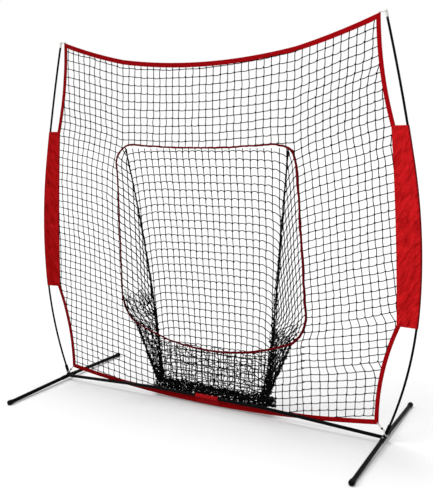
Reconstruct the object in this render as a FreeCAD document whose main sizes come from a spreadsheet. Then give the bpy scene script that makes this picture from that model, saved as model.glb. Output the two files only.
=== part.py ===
import FreeCAD, Part
import Sketcher
import math
import os
from FreeCAD import Placement, Rotation, Vector

# Pitching target net, in millimetres.
# X runs along the crossbar, Y from the pitcher's side to the back, Z up.
# The origin is on the floor, midway between the two feet.

doc = FreeCAD.newDocument("PitchingTargetNet")
sheet = doc.addObject("Spreadsheet::Sheet", "Sizes")

SIZES = [
    # the steel base
    ("half_span", 1052, "middle of the net to the axis of each foot"),
    ("hub_height", 24, "height of the foot's tube at the hub"),
    ("sleeve_radius", 12.7, "outside of the hub's cross sleeve"),
    ("sleeve_half", 65, "hub axis to each mouth of the sleeve"),
    ("leg_radius", 11.1, "outside of a leg tube"),
    ("tube_wall", 1.2, "wall of every steel tube"),
    ("leg_end", 536, "hub axis to the end of a leg tube"),
    ("leg_gap", 8, "hub axis to the inner end of each leg"),
    ("tube_play", 0.3, "gap all round a tube inside another"),
    ("cap_radius", 15, "foot cap at its bulb"),
    ("cap_bulb", 24, "length of the cap's bulb"),
    ("cap_depth", 30, "how far a foot cap covers the tube"),
    ("cap_end", 7, "thickness of the cap beyond the tube"),
    ("cap_wall", 1.6, "wall of the cap's skirt"),
    ("cap_round", 8, "rounding of the cap's end"),
    ("cap_edge", 1.8, "rounding of the bulb's back edge"),
    ("cap_flat", 1, "depth of the flat under each cap"),
    ("grip_gap", 0.15, "gap between a moulded cap and its tube"),
    # the crossbar
    ("bar_radius", 9.5, "outside of the crossbar tubes"),
    ("bar_over_hub", 2.5, "crossbar axis above the hub's axis at its ends"),
    ("bar_mid_height", 61, "crossbar axis over its middle tube"),
    ("bar_joint", 360, "middle of the net to each joint of the crossbar"),
    ("bar_seam", 0.6, "gap between two crossbar tubes at a joint"),
    ("spigot_reach", 58, "length of each arm of a bent spigot"),
    # the sprung buttons
    ("leg_button_radius", 4, "button that locks a leg"),
    ("leg_button_place", 42, "hub axis to a leg's button"),
    ("bar_button_radius", 3, "button that locks the crossbar"),
    ("bar_button_place", 34, "joint to a crossbar's button"),
    ("button_play", 0.3, "gap all round a button in its hole"),
    ("button_proud", 3, "how far a button stands out of the outer tube"),
    ("button_head", 1.2, "thickness of the flange inside the tube"),
    ("head_width", 1.2, "how much wider the flange is than the button"),
    ("head_gap", 0.3, "gap between the flange and the wall above it"),
    ("dome_share", 0.6, "rounding of a button's end, as a share of its radius"),
    ("spring_touch", 0.2, "gap between a spring and what it bears on"),
    ("spring_sheet", 0.7, "thickness of the spring strip"),
    ("spring_width", 5, "width of the spring strip"),
    ("spring_length", 30, "button to the bend of its spring"),
    # the bent rods
    ("rod_radius", 6, "solid fibreglass rod"),
    ("rod_lean", 20, "outward lean of the rod socket, in degrees"),
    ("socket_radius", 9.5, "outside of the rod socket"),
    ("socket_length", 70, "hub axis to the mouth of the socket"),
    ("rod_seat", 15, "hub axis to the lower end of the rod"),
    ("rod_play", 0.25, "gap all round the rod in its socket"),
    ("lower_rod", 650, "bent length of the lower rod"),
    ("lower_turn", 17.6, "turn of the lower rod, in degrees"),
    ("middle_rod", 700, "length of the middle rod"),
    ("middle_turn", 12.5, "turn of the middle rod, in degrees"),
    ("upper_rod", 720, "length of the upper rod"),
    ("upper_turn", 3.7, "turn of the upper rod, in degrees"),
    ("ferrule_half", 45, "half the length of a ferrule"),
    ("ferrule_wall", 1, "wall of a ferrule"),
    ("ferrule_play", 0.3, "gap between a ferrule and the rods"),
    ("tip_cover", 14, "how far the tip covers the rod"),
    ("tip_wall", 1.8, "wall of the tip's skirt"),
    ("tip_shoulder", 7.5, "end of the rod to the tip's groove"),
    ("tip_neck", 10, "length of the tip's groove"),
    ("tip_neck_radius", 4.5, "radius of the tip's groove"),
    ("tip_head", 5, "length of the tip's head"),
    # the net's edge
    ("corner_top_x", 977, "outer corner at the top, from the middle"),
    ("corner_top_z", 2139, "height of the top corners"),
    ("crease_x", 540, "where the top edge bends"),
    ("crease_z", 2011, "height of the top edge at its bends"),
    ("top_sag_z", 1968, "height of the top edge in the middle"),
    ("upper_side_x", 1000, "side edge where it draws in above the sleeve"),
    ("upper_side_z", 1880, "height of that point"),
    ("top_hem_x", 1062, "side edge at the sleeve's upper hem"),
    ("sleeve_side_x", 1098, "side edge under the middle of the sleeve"),
    ("sleeve_side_z", 1100, "height of that point"),
    ("low_hem_x", 1116, "side edge at the sleeve's lower hem"),
    ("lower_side_x", 1040, "side edge where it draws in below the sleeve"),
    ("lower_side_z", 360, "height of that point"),
    ("corner_low_x", 1018, "outer corner at the bottom"),
    ("corner_low_z", 85, "height of the bottom corners"),
    ("bottom_sag_z", 7, "height of the bottom edge in the middle"),
    ("band_width", 24, "folded webbing round the net"),
    ("band_thickness", 5, "webbing and net together"),
    ("net_thickness", 3, "twine"),
    ("strand", 9, "width of a strand of the coarse net"),
    ("mesh_pitch", 76, "pitch of the coarse net"),
    # the cloth sleeves
    ("hem_top_z", 1606, "upper hem of the sleeves"),
    ("hem_low_z", 616, "lower hem of the sleeves"),
    ("cloth", 2.4, "two layers of cloth"),
    ("channel_wall", 1.4, "cloth round the rod"),
    ("channel_play", 0.9, "gap between a ferrule and the cloth"),
    # the strike zone
    ("zone_top_half", 585, "half width where the top corners begin"),
    ("zone_top_z", 1375, "height where the top corners begin"),
    ("zone_corner_x", 556, "top corner"),
    ("zone_corner_z", 1482, "height of the top corner"),
    ("zone_top_edge_x", 440, "end of the top corner along the top edge"),
    ("zone_top_edge_z", 1521, "height of the top edge beside its corners"),
    ("zone_top_mid_z", 1502, "height of the top edge in the middle"),
    ("zone_low_half", 602, "half width where the lower corners begin"),
    ("zone_low_z", 640, "height where the lower corners begin"),
    ("zone_low_corner_x", 585, "lower corner"),
    ("zone_low_corner_z", 530, "height of the lower corner"),
    ("zone_lip_x", 511, "end of the lower corner along the lip"),
    ("zone_lip_z", 447, "height of the lip beside its corners"),
    ("zone_lip_mid_z", 339, "height of the lip in the middle"),
    ("zone_skew", 0.04, "sideways lean of the strike zone"),
    ("zone_mid_z", 800, "height at which the lean is nothing"),
    ("binding_width", 12, "webbing round the strike zone"),
    # the ball pocket
    ("pocket_top_z", 1500, "top corners of the pocket"),
    ("pocket_top_gap", 3.5, "pocket behind the net at the top"),
    ("pocket_depth", 95, "pocket behind the net at the bottom"),
    ("pocket_top_left", 544, "top corner on the left"),
    ("pocket_top_right", 503, "top corner on the right"),
    ("pocket_low_left", 378, "lower corner on the left"),
    ("pocket_low_right", 345, "lower corner on the right"),
    ("pocket_waist", 28, "how far the left side of the back draws in"),
    ("rope_radius", 4, "rope down each back corner of the pocket"),
    ("gather_top_z", 104, "top of the gathered net at the bottom"),
    ("gather_low_z", 34, "underside of the gathered net"),
    ("gather_front", 14, "gathered net behind the main net"),
    ("gather_rim", 5, "how far the gathered net passes the left rope, and both behind"),
    ("gather_right", 400, "right end of the gathered net"),
    ("gather_round", 3, "rounding of the gathered net's upper edges"),
    ("gather_belly", 22, "rounding of the gathered net's lower edges"),
    ("side_foot", 12, "foot of a side net in from its rope"),
    # the strap and the corner ties
    ("strap_left", 70, "middle of the net to the strap's left edge"),
    ("strap_right", 85, "middle of the net to the strap's right edge"),
    ("strap_thickness", 2, "strap round the crossbar"),
    ("strap_tail_z", 12, "lower end of the strap on the bottom band"),
    ("strap_gap", 0.5, "gap between the strap and the crossbar"),
    ("elastic_radius", 2, "elastic cord of a corner tie"),
    ("elastic_spread", 3, "half the distance between its ends"),
    ("elastic_gap", 0.8, "gap between a tie and what it goes round"),
    ("elastic_lap", 12, "how far a tie laps on to the band's corner"),
    ("tie_place", 18, "hub axis to the lower tie along the socket"),
    ("ball_radius", 6.5, "ball on each lower tie"),
    ("ball_place", 26, "corner of the net to the ball"),
]

sheet.set("A1", "size")
sheet.set("B1", "value")
sheet.set("C1", "meaning")
for row, (name, value, meaning) in enumerate(SIZES, start=2):
    sheet.set("A%d" % row, name)
    sheet.set("B%d" % row, str(value))
    sheet.set("C%d" % row, meaning)
    sheet.setAlias("B%d" % row, name)
doc.recompute()

S = {name: float(sheet.get(name)) for name, value, meaning in SIZES}


class Size:
    """A value together with the expression that ties it to the sheet."""

    def __init__(self, value, text):
        self.value = value
        self.text = text

    def joined(self, other, sign, value):
        text = other.text if isinstance(other, Size) else repr(other)
        return Size(value, "(%s %s %s)" % (self.text, sign, text))

    def __add__(self, other):
        return self.joined(other, "+", self.value + number(other))

    def __sub__(self, other):
        return self.joined(other, "-", self.value - number(other))

    def __mul__(self, other):
        return self.joined(other, "*", self.value * number(other))

    def __truediv__(self, other):
        return self.joined(other, "/", self.value / number(other))


def number(thing):
    return thing.value if isinstance(thing, Size) else thing


def root(size):
    return Size(math.sqrt(size.value), "sqrt(%s)" % size.text)


Q = {name: Size(S[name], "Sizes." + name) for name in S}
ZERO = Size(0.0, "0")
UP = Vector(0, 0, 1)
BACK = Vector(0, 1, 0)
SIDES = (("left", -1), ("right", 1))
ENDS = (("front", -1), ("back", 1))

# Places worked out from the sizes

leg_bore = Q["leg_radius"] + Q["tube_play"]
leg_inside = Q["leg_radius"] - Q["tube_wall"]
bar_inside = Q["bar_radius"] - Q["tube_wall"]
spigot_radius = bar_inside - Q["tube_play"]
spigot_inside = spigot_radius - Q["tube_wall"]
foot_height = S["cap_radius"] - S["cap_flat"]
bar_span = Q["half_span"] - Q["bar_joint"]
bar_climb = Q["bar_mid_height"] - Q["hub_height"] - Q["bar_over_hub"]
bar_rise = math.atan2(bar_climb.value, bar_span.value)
half_band = S["band_thickness"] / 2
bar_forward = half_band + S["strap_thickness"] + S["strap_gap"] + S["bar_radius"]
leg_drop = (S["hub_height"] - foot_height) / S["leg_end"]
PAST = 1  # how far a cut runs past what it cuts


def hub_point(side):
    return Vector(side * S["half_span"], 0, S["hub_height"])


def leg_direction(end):
    return Vector(0, end * math.sqrt(1 - leg_drop * leg_drop), -leg_drop)


def bar_direction(side):
    """From a joint of the crossbar outwards to the hub."""
    return Vector(side * math.cos(bar_rise), 0, -math.sin(bar_rise))


def socket_direction(side):
    lean = math.radians(S["rod_lean"])
    return Vector(side * math.sin(lean), 0, math.cos(lean))


def facing(base, along, out=UP):
    """Placement that puts local Z along a direction and local X outwards."""
    return Placement(base, Rotation(out, Vector(), along, "ZXY"))


def slid(place, distance):
    return place.multiply(Placement(Vector(0, 0, distance), Rotation()))


def turned_out(place):
    """Local Z turned to where local X was, as a button stands in its tube."""
    return place.multiply(Placement(Vector(), Rotation(BACK, 90)))


# Small makers of document objects

nodes = []


def keep(thing):
    nodes.append(thing)
    return thing


def part(kind, label, placement=None, **sizes):
    thing = doc.addObject(kind, label)
    thing.Label = label
    for prop, size in sizes.items():
        thing.setExpression(prop, size.text)
    if placement:
        thing.Placement = placement
    return thing


def cut(label, base, tools):
    tool = tools[0]
    if len(tools) > 1:
        tool = part("Part::MultiFuse", label + "_tools")
        tool.Shapes = tools
    thing = part("Part::Cut", label)
    thing.Base = base
    thing.Tool = tool
    return thing


def mitred(label, place, radius, length, mitre):
    """A bar along local Z, cut off at its start by the mitre's own local XY plane."""
    bar = part("Part::Cylinder", label + "_bar", slid(place, -PAST), Radius=radius,
               Height=length + PAST)
    wide = radius * 2
    corner = mitre.multiply(Placement(Vector(-wide.value, -wide.value, 0), Rotation()))
    end = part("Part::Box", label + "_end", corner, Length=wide * 2, Width=wide * 2, Height=wide)
    return cut(label, bar, [end])


def solid(label, shape, placement=Placement()):
    thing = doc.addObject("Part::Feature", label)
    thing.Label = label
    thing.Shape = shape
    thing.Placement = placement
    return thing


def new_body(label, placement):
    body = doc.addObject("PartDesign::Body", label)
    body.Label = label
    body.Placement = placement
    return body


def new_sketch(body, name, role):
    sketch = body.newObject("Sketcher::SketchObject", name)
    plane = next(item for item in body.Origin.OriginFeatures if item.Role == role)
    sketch.AttachmentSupport = (plane, [""])
    sketch.MapMode = "FlatFace"
    return sketch


def tie(sketch, size, *constraint):
    """Add a sketch constraint whose value follows the sheet."""
    index = sketch.addConstraint(Sketcher.Constraint(*constraint, size.value))
    sketch.setExpression("Constraints[%d]" % index, size.text)


def add_circle(sketch, radius, height=ZERO):
    index = sketch.addGeometry(Part.Circle(Vector(0, height.value, 0), UP, radius.value), False)
    if height is ZERO:
        sketch.addConstraint(Sketcher.Constraint("Coincident", index, 3, -1, 1))
    else:
        sketch.addConstraint(Sketcher.Constraint("PointOnObject", index, 3, -2))
        tie(sketch, height, "DistanceY", -1, 1, index, 3)
    tie(sketch, radius, "Radius", index)


def tube_body(label, placement, outer, inner, length):
    body = new_body(label, placement)
    ring = new_sketch(body, label + "_ring", "XY_Plane")
    add_circle(ring, outer)
    add_circle(ring, inner)
    pad = body.newObject("PartDesign::Pad", label + "_pad")
    pad.Profile = ring
    pad.setExpression("Length", length.text)
    doc.recompute()
    return body


def drill_wall(body, name, radius, height, depth):
    """A round hole through the wall on local +X only."""
    before = body.Shape.Volume
    sketch = new_sketch(body, name + "_circle", "YZ_Plane")
    add_circle(sketch, radius, height)
    hole = body.newObject("PartDesign::Pocket", name)
    hole.Profile = sketch
    hole.Reversed = True
    hole.setExpression("Length", depth.text)
    doc.recompute()
    if body.Shape.Volume > before - 1:
        raise ValueError("%s cut nothing" % name)


def turned_body(label, placement, section):
    """A body turned about its own Z from a closed half section of (radius, height)."""
    body = new_body(label, placement)
    sketch = new_sketch(body, label + "_section", "XZ_Plane")
    points = [Vector(radius.value, height.value, 0) for radius, height in section]
    count = len(points)
    for index in range(count):
        sketch.addGeometry(Part.LineSegment(points[index], points[(index + 1) % count]), False)
    for index in range(count):
        sketch.addConstraint(Sketcher.Constraint("Coincident", index, 2, (index + 1) % count, 1))
    for index, (radius, height) in enumerate(section):
        if radius is ZERO:
            sketch.addConstraint(Sketcher.Constraint("PointOnObject", index, 1, -2))
        else:
            tie(sketch, radius, "DistanceX", -1, 1, index, 1)
        if height is ZERO:
            sketch.addConstraint(Sketcher.Constraint("PointOnObject", index, 1, -1))
        else:
            tie(sketch, height, "DistanceY", -1, 1, index, 1)
    turn = body.newObject("PartDesign::Revolution", label + "_turn")
    turn.Profile = sketch
    turn.ReferenceAxis = (sketch, ["V_Axis"])
    turn.Angle = 360
    doc.recompute()
    return body


def round_rim(body, name, rim, height, radius):
    """Round the circular edge that has a given radius and height on the body."""
    feature = body.Tip
    chosen = []
    for index, edge in enumerate(feature.Shape.Edges, start=1):
        curve = edge.Curve
        if isinstance(curve, Part.Circle) and abs(curve.Radius - rim.value) < 0.01:
            if abs(curve.Center.z - height.value) < 0.01:
                chosen.append("Edge%d" % index)
    if not chosen:
        raise ValueError("%s found no rim" % name)
    fillet = body.newObject("PartDesign::Fillet", name)
    fillet.Base = (feature, chosen)
    fillet.setExpression("Radius", radius.text)
    doc.recompute()


# Hubs: a cross sleeve that takes both legs, and the leaning socket of the rod

def leg_place(side, end):
    return facing(hub_point(side), leg_direction(end))


def make_hub(side_name, side):
    label = side_name + "_hub"
    outside = []
    inside = []
    for end_name, end in ENDS:
        name = label + "_" + end_name
        place = leg_place(side, end)
        mitre = facing(hub_point(side), Vector(0, -end, 0))
        outside.append(mitred(name + "_sleeve", place, Q["sleeve_radius"], Q["sleeve_half"], mitre))
        inside.append(mitred(name + "_bore", place, leg_bore, Q["sleeve_half"] + PAST, mitre))
        inside.append(part("Part::Cylinder", name + "_hole",
                           turned_out(slid(place, S["leg_button_place"])),
                           Radius=Q["leg_button_radius"] + Q["button_play"],
                           Height=Q["sleeve_radius"] * 2))
    lean = facing(hub_point(side), socket_direction(side), BACK)
    outside.append(part("Part::Cylinder", label + "_socket", lean,
                        Radius=Q["socket_radius"], Height=Q["socket_length"]))
    inside.append(part("Part::Cylinder", label + "_rod_bore",
                       slid(lean, S["rod_seat"] - S["rod_play"]),
                       Radius=Q["rod_radius"] + Q["rod_play"], Height=Q["socket_length"]))
    joined = part("Part::MultiFuse", label + "_outside")
    joined.Shapes = outside
    keep(cut(label, joined, inside))


# Legs, and the moulded caps that they stand on

def make_leg(side_name, side, end_name, end):
    label = "%s_%s_leg" % (side_name, end_name)
    reach = Q["leg_end"]
    place = leg_place(side, end)
    leg = tube_body(label, slid(place, S["leg_gap"]), Q["leg_radius"], leg_inside,
                    reach - Q["leg_gap"])
    drill_wall(leg, label + "_hole", Q["leg_button_radius"] + Q["button_play"],
               Q["leg_button_place"] - Q["leg_gap"], Q["leg_radius"] + PAST)
    keep(leg)

    bore = Q["leg_radius"] + Q["grip_gap"]
    skirt = bore + Q["cap_wall"]
    tip = Q["cap_depth"] + Q["cap_end"]
    shoulder = tip - Q["cap_bulb"]
    section = [(ZERO, tip), (ZERO, Q["cap_depth"]), (bore, Q["cap_depth"]), (bore, ZERO),
               (skirt, ZERO), (skirt, shoulder), (Q["cap_radius"], shoulder),
               (Q["cap_radius"], tip)]
    moulding = turned_body(label + "_cap_moulding", slid(place, reach.value - S["cap_depth"]),
                           section)
    round_rim(moulding, label + "_cap_nose", Q["cap_radius"], tip, Q["cap_round"])
    round_rim(moulding, label + "_cap_back", Q["cap_radius"], shoulder, Q["cap_edge"])
    foot = place.multVec(Vector(0, 0, reach.value))
    wide = Q["cap_depth"] + Q["cap_end"] + PAST
    under = Placement(Vector(foot.x - wide.value, foot.y - wide.value, -S["cap_radius"]), Rotation())
    floor = part("Part::Box", label + "_cap_floor", under, Length=wide * 2, Width=wide * 2,
                 Height=Q["cap_radius"])
    keep(cut(label + "_cap", moulding, [floor]))


# Sprung buttons: local X points out of the tube and local Z runs along it

def make_button(label, place, radius, tube_outside, wall_inside):
    top = tube_outside + Q["button_proud"]
    head = radius + Q["head_width"]
    head_top = root(wall_inside * wall_inside - head * head) - Q["head_gap"]
    head_low = head_top - Q["button_head"]
    section = [(ZERO, top), (ZERO, head_low), (head, head_low), (head, head_top),
               (radius, head_top), (radius, top)]
    button = turned_body(label, turned_out(place), section)
    round_rim(button, label + "_dome", radius, top, radius * Q["dome_share"])
    keep(button)

    # the strip doubles back from under the head to the far wall of the tube
    strip = S["spring_sheet"]
    near = head_low.value - S["spring_touch"]
    far = S["spring_touch"] - math.sqrt(wall_inside.value ** 2 - (S["spring_width"] / 2) ** 2)
    middle = (near + far) / 2
    bend = S["spring_length"]
    knee = bend / 3
    tail = -head.value
    outline = [(near, tail), (near, knee), (middle, bend), (far, knee), (far, tail),
               (far + strip, tail), (far + strip, knee), (middle, bend - 2 * strip),
               (near - strip, knee), (near - strip, tail)]
    corners = [Vector(out, -S["spring_width"] / 2, along) for out, along in outline]
    face = Part.Face(Part.makePolygon(corners + corners[:1]))
    shape = face.extrude(Vector(0, S["spring_width"], 0))
    keep(solid(label.replace("button", "spring"), shape, place))


# The crossbar: two side tubes welded to the hubs, a middle tube and two bent spigots

def joint_point(side):
    return Vector(side * S["bar_joint"], -bar_forward, S["bar_mid_height"])


def make_crossbar():
    half_middle = Q["bar_joint"] - Q["bar_seam"]
    start = Vector(-half_middle.value, -bar_forward, S["bar_mid_height"])
    keep(tube_body("middle_crossbar", facing(start, Vector(1, 0, 0)), Q["bar_radius"], bar_inside,
                   half_middle * 2))
    run = root(bar_span * bar_span + bar_climb * bar_climb)
    for side_name, side in SIDES:
        place = facing(joint_point(side), bar_direction(side))
        blank = tube_body(side_name + "_crossbar_blank", slid(place, S["bar_seam"]),
                          Q["bar_radius"], bar_inside, run - Q["bar_seam"])
        drill_wall(blank, side_name + "_crossbar_hole", Q["bar_button_radius"] + Q["button_play"],
                   Q["bar_button_place"] - Q["bar_seam"], Q["bar_radius"] + PAST)
        front = leg_place(side, -1)
        cope = part("Part::Cylinder", side_name + "_crossbar_cope", slid(front, -S["sleeve_half"]),
                    Radius=Q["sleeve_radius"], Height=Q["sleeve_half"] * 2)
        keep(cut(side_name + "_crossbar", blank, [cope]))

        name = side_name + "_bar_spigot"
        inward = Vector(-side, 0, 0)
        arms = []
        bores = []
        for arm_name, along, other in (("outer", bar_direction(side), inward),
                                       ("inner", inward, bar_direction(side))):
            arm = facing(joint_point(side), along)
            mitre = facing(joint_point(side), other - along)
            arms.append(mitred(name + "_" + arm_name, arm, spigot_radius, Q["spigot_reach"], mitre))
            bores.append(mitred(name + "_" + arm_name + "_bore", arm, spigot_inside,
                                Q["spigot_reach"] + PAST, mitre))
        bores.append(part("Part::Cylinder", name + "_hole",
                          turned_out(slid(place, S["bar_button_place"])),
                          Radius=Q["bar_button_radius"] + Q["button_play"],
                          Height=Q["bar_radius"] * 2))
        joined = part("Part::MultiFuse", name + "_outside")
        joined.Shapes = arms
        keep(cut(name, joined, bores))
        make_button(side_name + "_bar_button", slid(place, S["bar_button_place"]),
                    Q["bar_button_radius"], Q["bar_radius"], spigot_inside)


# The bent rods: each section is an arc, tangent to the next

def across(angle):
    """From the centre of an arc to the rod, where the rod leans by an angle."""
    return Vector(math.cos(angle), 0, -math.sin(angle))


def rod_stations():
    """The three arcs of the right rod, from the socket's mouth upwards."""
    angle = math.radians(S["rod_lean"])
    point = hub_point(1) + socket_direction(1) * S["socket_length"]
    stations = []
    for name in ("lower", "middle", "upper"):
        turn = Q[name + "_turn"]
        radius = Q[name + "_rod"] * (180 / math.pi) / turn
        centre = point - across(angle) * radius.value
        stations.append({"name": name, "start": point, "angle": angle, "radius": radius,
                         "turn": turn, "centre": centre})
        angle -= math.radians(turn.value)
        point = centre + across(angle) * radius.value
    return stations, point, angle


STATIONS, rod_end, rod_end_angle = rod_stations()


def mirrored(side):
    """The rods lie in the plane of the net, so half a turn about Z mirrors them."""
    return Placement(Vector(), Rotation(UP, 0 if side > 0 else 180))


def arc_piece(label, centre, radius, tube, lean, turn, side):
    """Part of a torus in the plane of the net, upwards from where it leans by an angle."""
    stand = Placement(centre, Rotation(Vector(1, 0, 0), 90))
    spun = stand.multiply(Placement(Vector(), Rotation(UP, -lean)))
    return part("Part::Torus", label, mirrored(side).multiply(spun),
                Radius1=radius, Radius2=tube, Angle3=turn)


def make_rods(side_name, side):
    for station in STATIONS:
        label = "%s_%s_rod" % (side_name, station["name"])
        bent = station["name"] == "lower"
        arc_label = label + "_bend" if bent else label
        bend = arc_piece(arc_label, station["centre"], station["radius"], Q["rod_radius"],
                         math.degrees(station["angle"]), station["turn"], side)
        if not bent:
            keep(bend)
            continue
        lean = facing(hub_point(side), socket_direction(side), BACK)
        tail = part("Part::Cylinder", label + "_tail", slid(lean, S["rod_seat"]),
                    Radius=Q["rod_radius"], Height=Q["socket_length"] - Q["rod_seat"])
        whole = part("Part::Fuse", label)
        whole.Base = bend
        whole.Tool = tail
        keep(whole)

    rings = []
    for below, above in zip(STATIONS, STATIONS[1:]):
        name = "%s_%s_ferrule" % (side_name, above["name"])
        radius = below["radius"] * above["radius"] * 2 / (below["radius"] + above["radius"])
        half = Q["ferrule_half"] * (180 / math.pi) / radius
        centre = above["start"] - across(above["angle"]) * radius.value
        lean = math.degrees(above["angle"])
        bore = Q["rod_radius"] + Q["ferrule_play"]
        outer = arc_piece(name + "_outside", centre, radius, bore + Q["ferrule_wall"],
                          lean + half.value, half * 2, side)
        longer = half * 1.1
        inner = arc_piece(name + "_inside", centre, radius, bore, lean + longer.value,
                          longer * 2, side)
        rings.append(cut(name, outer, [inner]))
    group = part("Part::Compound", side_name + "_rod_ferrules")
    group.Links = rings
    keep(group)

    bore = Q["rod_radius"] + Q["grip_gap"]
    skirt = bore + Q["tip_wall"]
    face = Q["tip_cover"] + Q["grip_gap"]
    groove = Q["tip_cover"] + Q["tip_shoulder"]
    head = groove + Q["tip_neck"]
    top = head + Q["tip_head"]
    section = [(ZERO, top), (ZERO, face), (bore, face), (bore, ZERO), (skirt, ZERO),
               (skirt, groove), (Q["tip_neck_radius"], groove), (Q["tip_neck_radius"], head),
               (skirt, head), (skirt, top)]
    place = mirrored(side).multiply(slid(facing(rod_end, rod_direction(), BACK), -S["tip_cover"]))
    tip = turned_body(side_name + "_rod_tip", place, section)
    round_rim(tip, side_name + "_tip_crown", skirt, top, Q["tip_wall"] * 2)
    keep(tip)


def rod_direction():
    return Vector(math.sin(rod_end_angle), 0, math.cos(rod_end_angle))


# Flat shapes: points of the net's plane, given by place across and height

def at(x, z, y=0):
    return Vector(x, y, z)


def arc(start, middle, end):
    return Part.Arc(start, middle, end).toShape()


def polygon(points):
    return Part.Face(Part.makePolygon(points + points[:1]))


def slab(face, thickness):
    """A flat sheet with the net's plane in its middle."""
    moved = face.copy()
    moved.translate(Vector(0, -thickness / 2, 0))
    return moved.extrude(Vector(0, thickness, 0))


def one_face(shape, label):
    faces = shape.removeSplitter().Faces
    if len(faces) != 1:
        raise ValueError("%s has %d faces" % (label, len(faces)))
    return faces[0]


def side_points(side):
    """The ends and middles of the three arcs of a side edge, from the top down."""
    return [at(side * S["corner_top_x"], S["corner_top_z"]),
            at(side * S["upper_side_x"], S["upper_side_z"]),
            at(side * S["top_hem_x"], S["hem_top_z"]),
            at(side * S["sleeve_side_x"], S["sleeve_side_z"]),
            at(side * S["low_hem_x"], S["hem_low_z"]),
            at(side * S["lower_side_x"], S["lower_side_z"]),
            at(side * S["corner_low_x"], S["corner_low_z"])]


def net_edge():
    """The outer edge of the whole net, with its bends and its drawn-in sides."""
    edges = []
    for side in (1, -1):
        points = side_points(side)
        edges.append(Part.makeLine(at(side * S["crease_x"], S["crease_z"]), points[0]))
        for first in (0, 2, 4):
            edges.append(arc(*points[first:first + 3]))
    edges.append(arc(at(-S["crease_x"], S["crease_z"]), at(0, S["top_sag_z"]),
                     at(S["crease_x"], S["crease_z"])))
    edges.append(arc(at(-S["corner_low_x"], S["corner_low_z"]), at(0, S["bottom_sag_z"]),
                     at(S["corner_low_x"], S["corner_low_z"])))
    return Part.Face(Part.Wire(Part.__sortEdges__(edges)))


edge_face = net_edge()
band_inside = edge_face.makeOffset2D(-S["band_width"], 0)
FAR = S["half_span"] * 2
hem_span = polygon([at(-FAR, S["hem_low_z"]), at(FAR, S["hem_low_z"]), at(FAR, S["hem_top_z"]),
                    at(-FAR, S["hem_top_z"])])
net_middle = at(0, (S["corner_top_z"] + S["corner_low_z"]) / 2)


def make_bands():
    """Folded webbing: mitred at the corners, and left out where the sleeves are."""
    ring = edge_face.cut(band_inside)
    top = [at(side * S["corner_top_x"], S["corner_top_z"]) for side in (-1, 1)]
    low = [at(side * S["corner_low_x"], S["corner_low_z"]) for side in (-1, 1)]
    above = at(0, FAR + S["corner_top_z"])
    below = at(0, -FAR)
    over = ring.common(polygon([net_middle, top[1], above, top[0]]))
    under = ring.common(polygon([net_middle, low[0], below, low[1]]))
    keep(solid("top_band", slab(one_face(over, "top_band"), S["band_thickness"])))
    keep(solid("bottom_band", slab(one_face(under, "bottom_band"), S["band_thickness"])))
    for side_name, side in SIDES:
        index = (side + 1) // 2
        wedge = polygon([net_middle, top[index], at(side * FAR, S["corner_top_z"]),
                         at(side * FAR, S["corner_low_z"]), low[index]])
        strips = ring.common(wedge).cut(hem_span).removeSplitter().Faces
        strips.sort(key=lambda face: face.CenterOfMass.z)
        for name, strip in zip(("lower", "upper"), strips):
            keep(solid("%s_%s_band" % (side_name, name), slab(strip, S["band_thickness"])))


# The strike zone's edge

def zone(x, z):
    """A point of the strike zone, which leans sideways a little."""
    return at(x + S["zone_skew"] * (S["zone_mid_z"] - z), z)


def zone_corners(side):
    """The ends and middles of the two corner arcs of one side, from the top down."""
    return [zone(side * S["zone_top_edge_x"], S["zone_top_edge_z"]),
            zone(side * S["zone_corner_x"], S["zone_corner_z"]),
            zone(side * S["zone_top_half"], S["zone_top_z"]),
            zone(side * S["zone_low_half"], S["zone_low_z"]),
            zone(side * S["zone_low_corner_x"], S["zone_low_corner_z"]),
            zone(side * S["zone_lip_x"], S["zone_lip_z"])]


def zone_face():
    left = zone_corners(-1)
    right = zone_corners(1)
    edges = [arc(left[0], zone(0, S["zone_top_mid_z"]), right[0]),
             arc(left[5], zone(0, S["zone_lip_mid_z"]), right[5])]
    for points in (left, right):
        edges.append(arc(*points[0:3]))
        edges.append(Part.makeLine(points[2], points[3]))
        edges.append(arc(*points[3:6]))
    return Part.Face(Part.Wire(Part.__sortEdges__(edges)))


zone_opening = zone_face()
binding_outside = zone_opening.makeOffset2D(S["binding_width"] / 2, 2)
binding_inside = zone_opening.makeOffset2D(-S["binding_width"] / 2, 0)
binding_ring = slab(binding_outside.cut(binding_inside), S["band_thickness"])


# Netting: a sheet with a hole for every gap of the coarse mesh

def mix(start, end, share):
    return start + (end - start) * share


def bowl(middle, rim, share):
    """Height of a sagging line, at a share of the way from its middle to its end."""
    return mix(middle, rim, share * share)


def holed(region, point, columns, rows):
    """Cut a grid of gaps into a flat region; point maps column and row to a place."""
    inset = region.makeOffset2D(-S["strand"] / 2, 0)
    half = S["strand"] / S["mesh_pitch"] / 2
    gaps = []
    for row in range(rows[0], rows[1]):
        for column in range(columns[0], columns[1]):
            corners = [point(column + half, row + half), point(column + 1 - half, row + half),
                       point(column + 1 - half, row + 1 - half), point(column + half, row + 1 - half)]
            for gap in polygon(corners).common(inset).Faces:
                if gap.Area > S["strand"] * S["strand"]:
                    gaps.append(gap)
    return region.cut(Part.makeCompound(gaps)), len(gaps)


def panel_line(side):
    """The seam between a wing and the middle of the net, from the top down."""
    crease = at(side * S["crease_x"], S["crease_z"])
    corner = zone(side * S["zone_top_half"], S["zone_top_z"])
    low = zone(side * S["zone_low_half"], S["zone_low_z"])
    beyond = crease + (crease - corner)
    return [beyond, crease, corner, low, at(low.x, -S["hub_height"])]


def line_x(points, height):
    """Where a line of points, from the top down, has a given height."""
    for upper, lower in zip(points, points[1:]):
        if height >= lower.z:
            return mix(lower.x, upper.x, (height - lower.z) / (upper.z - lower.z))
    return points[-1].x


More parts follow.
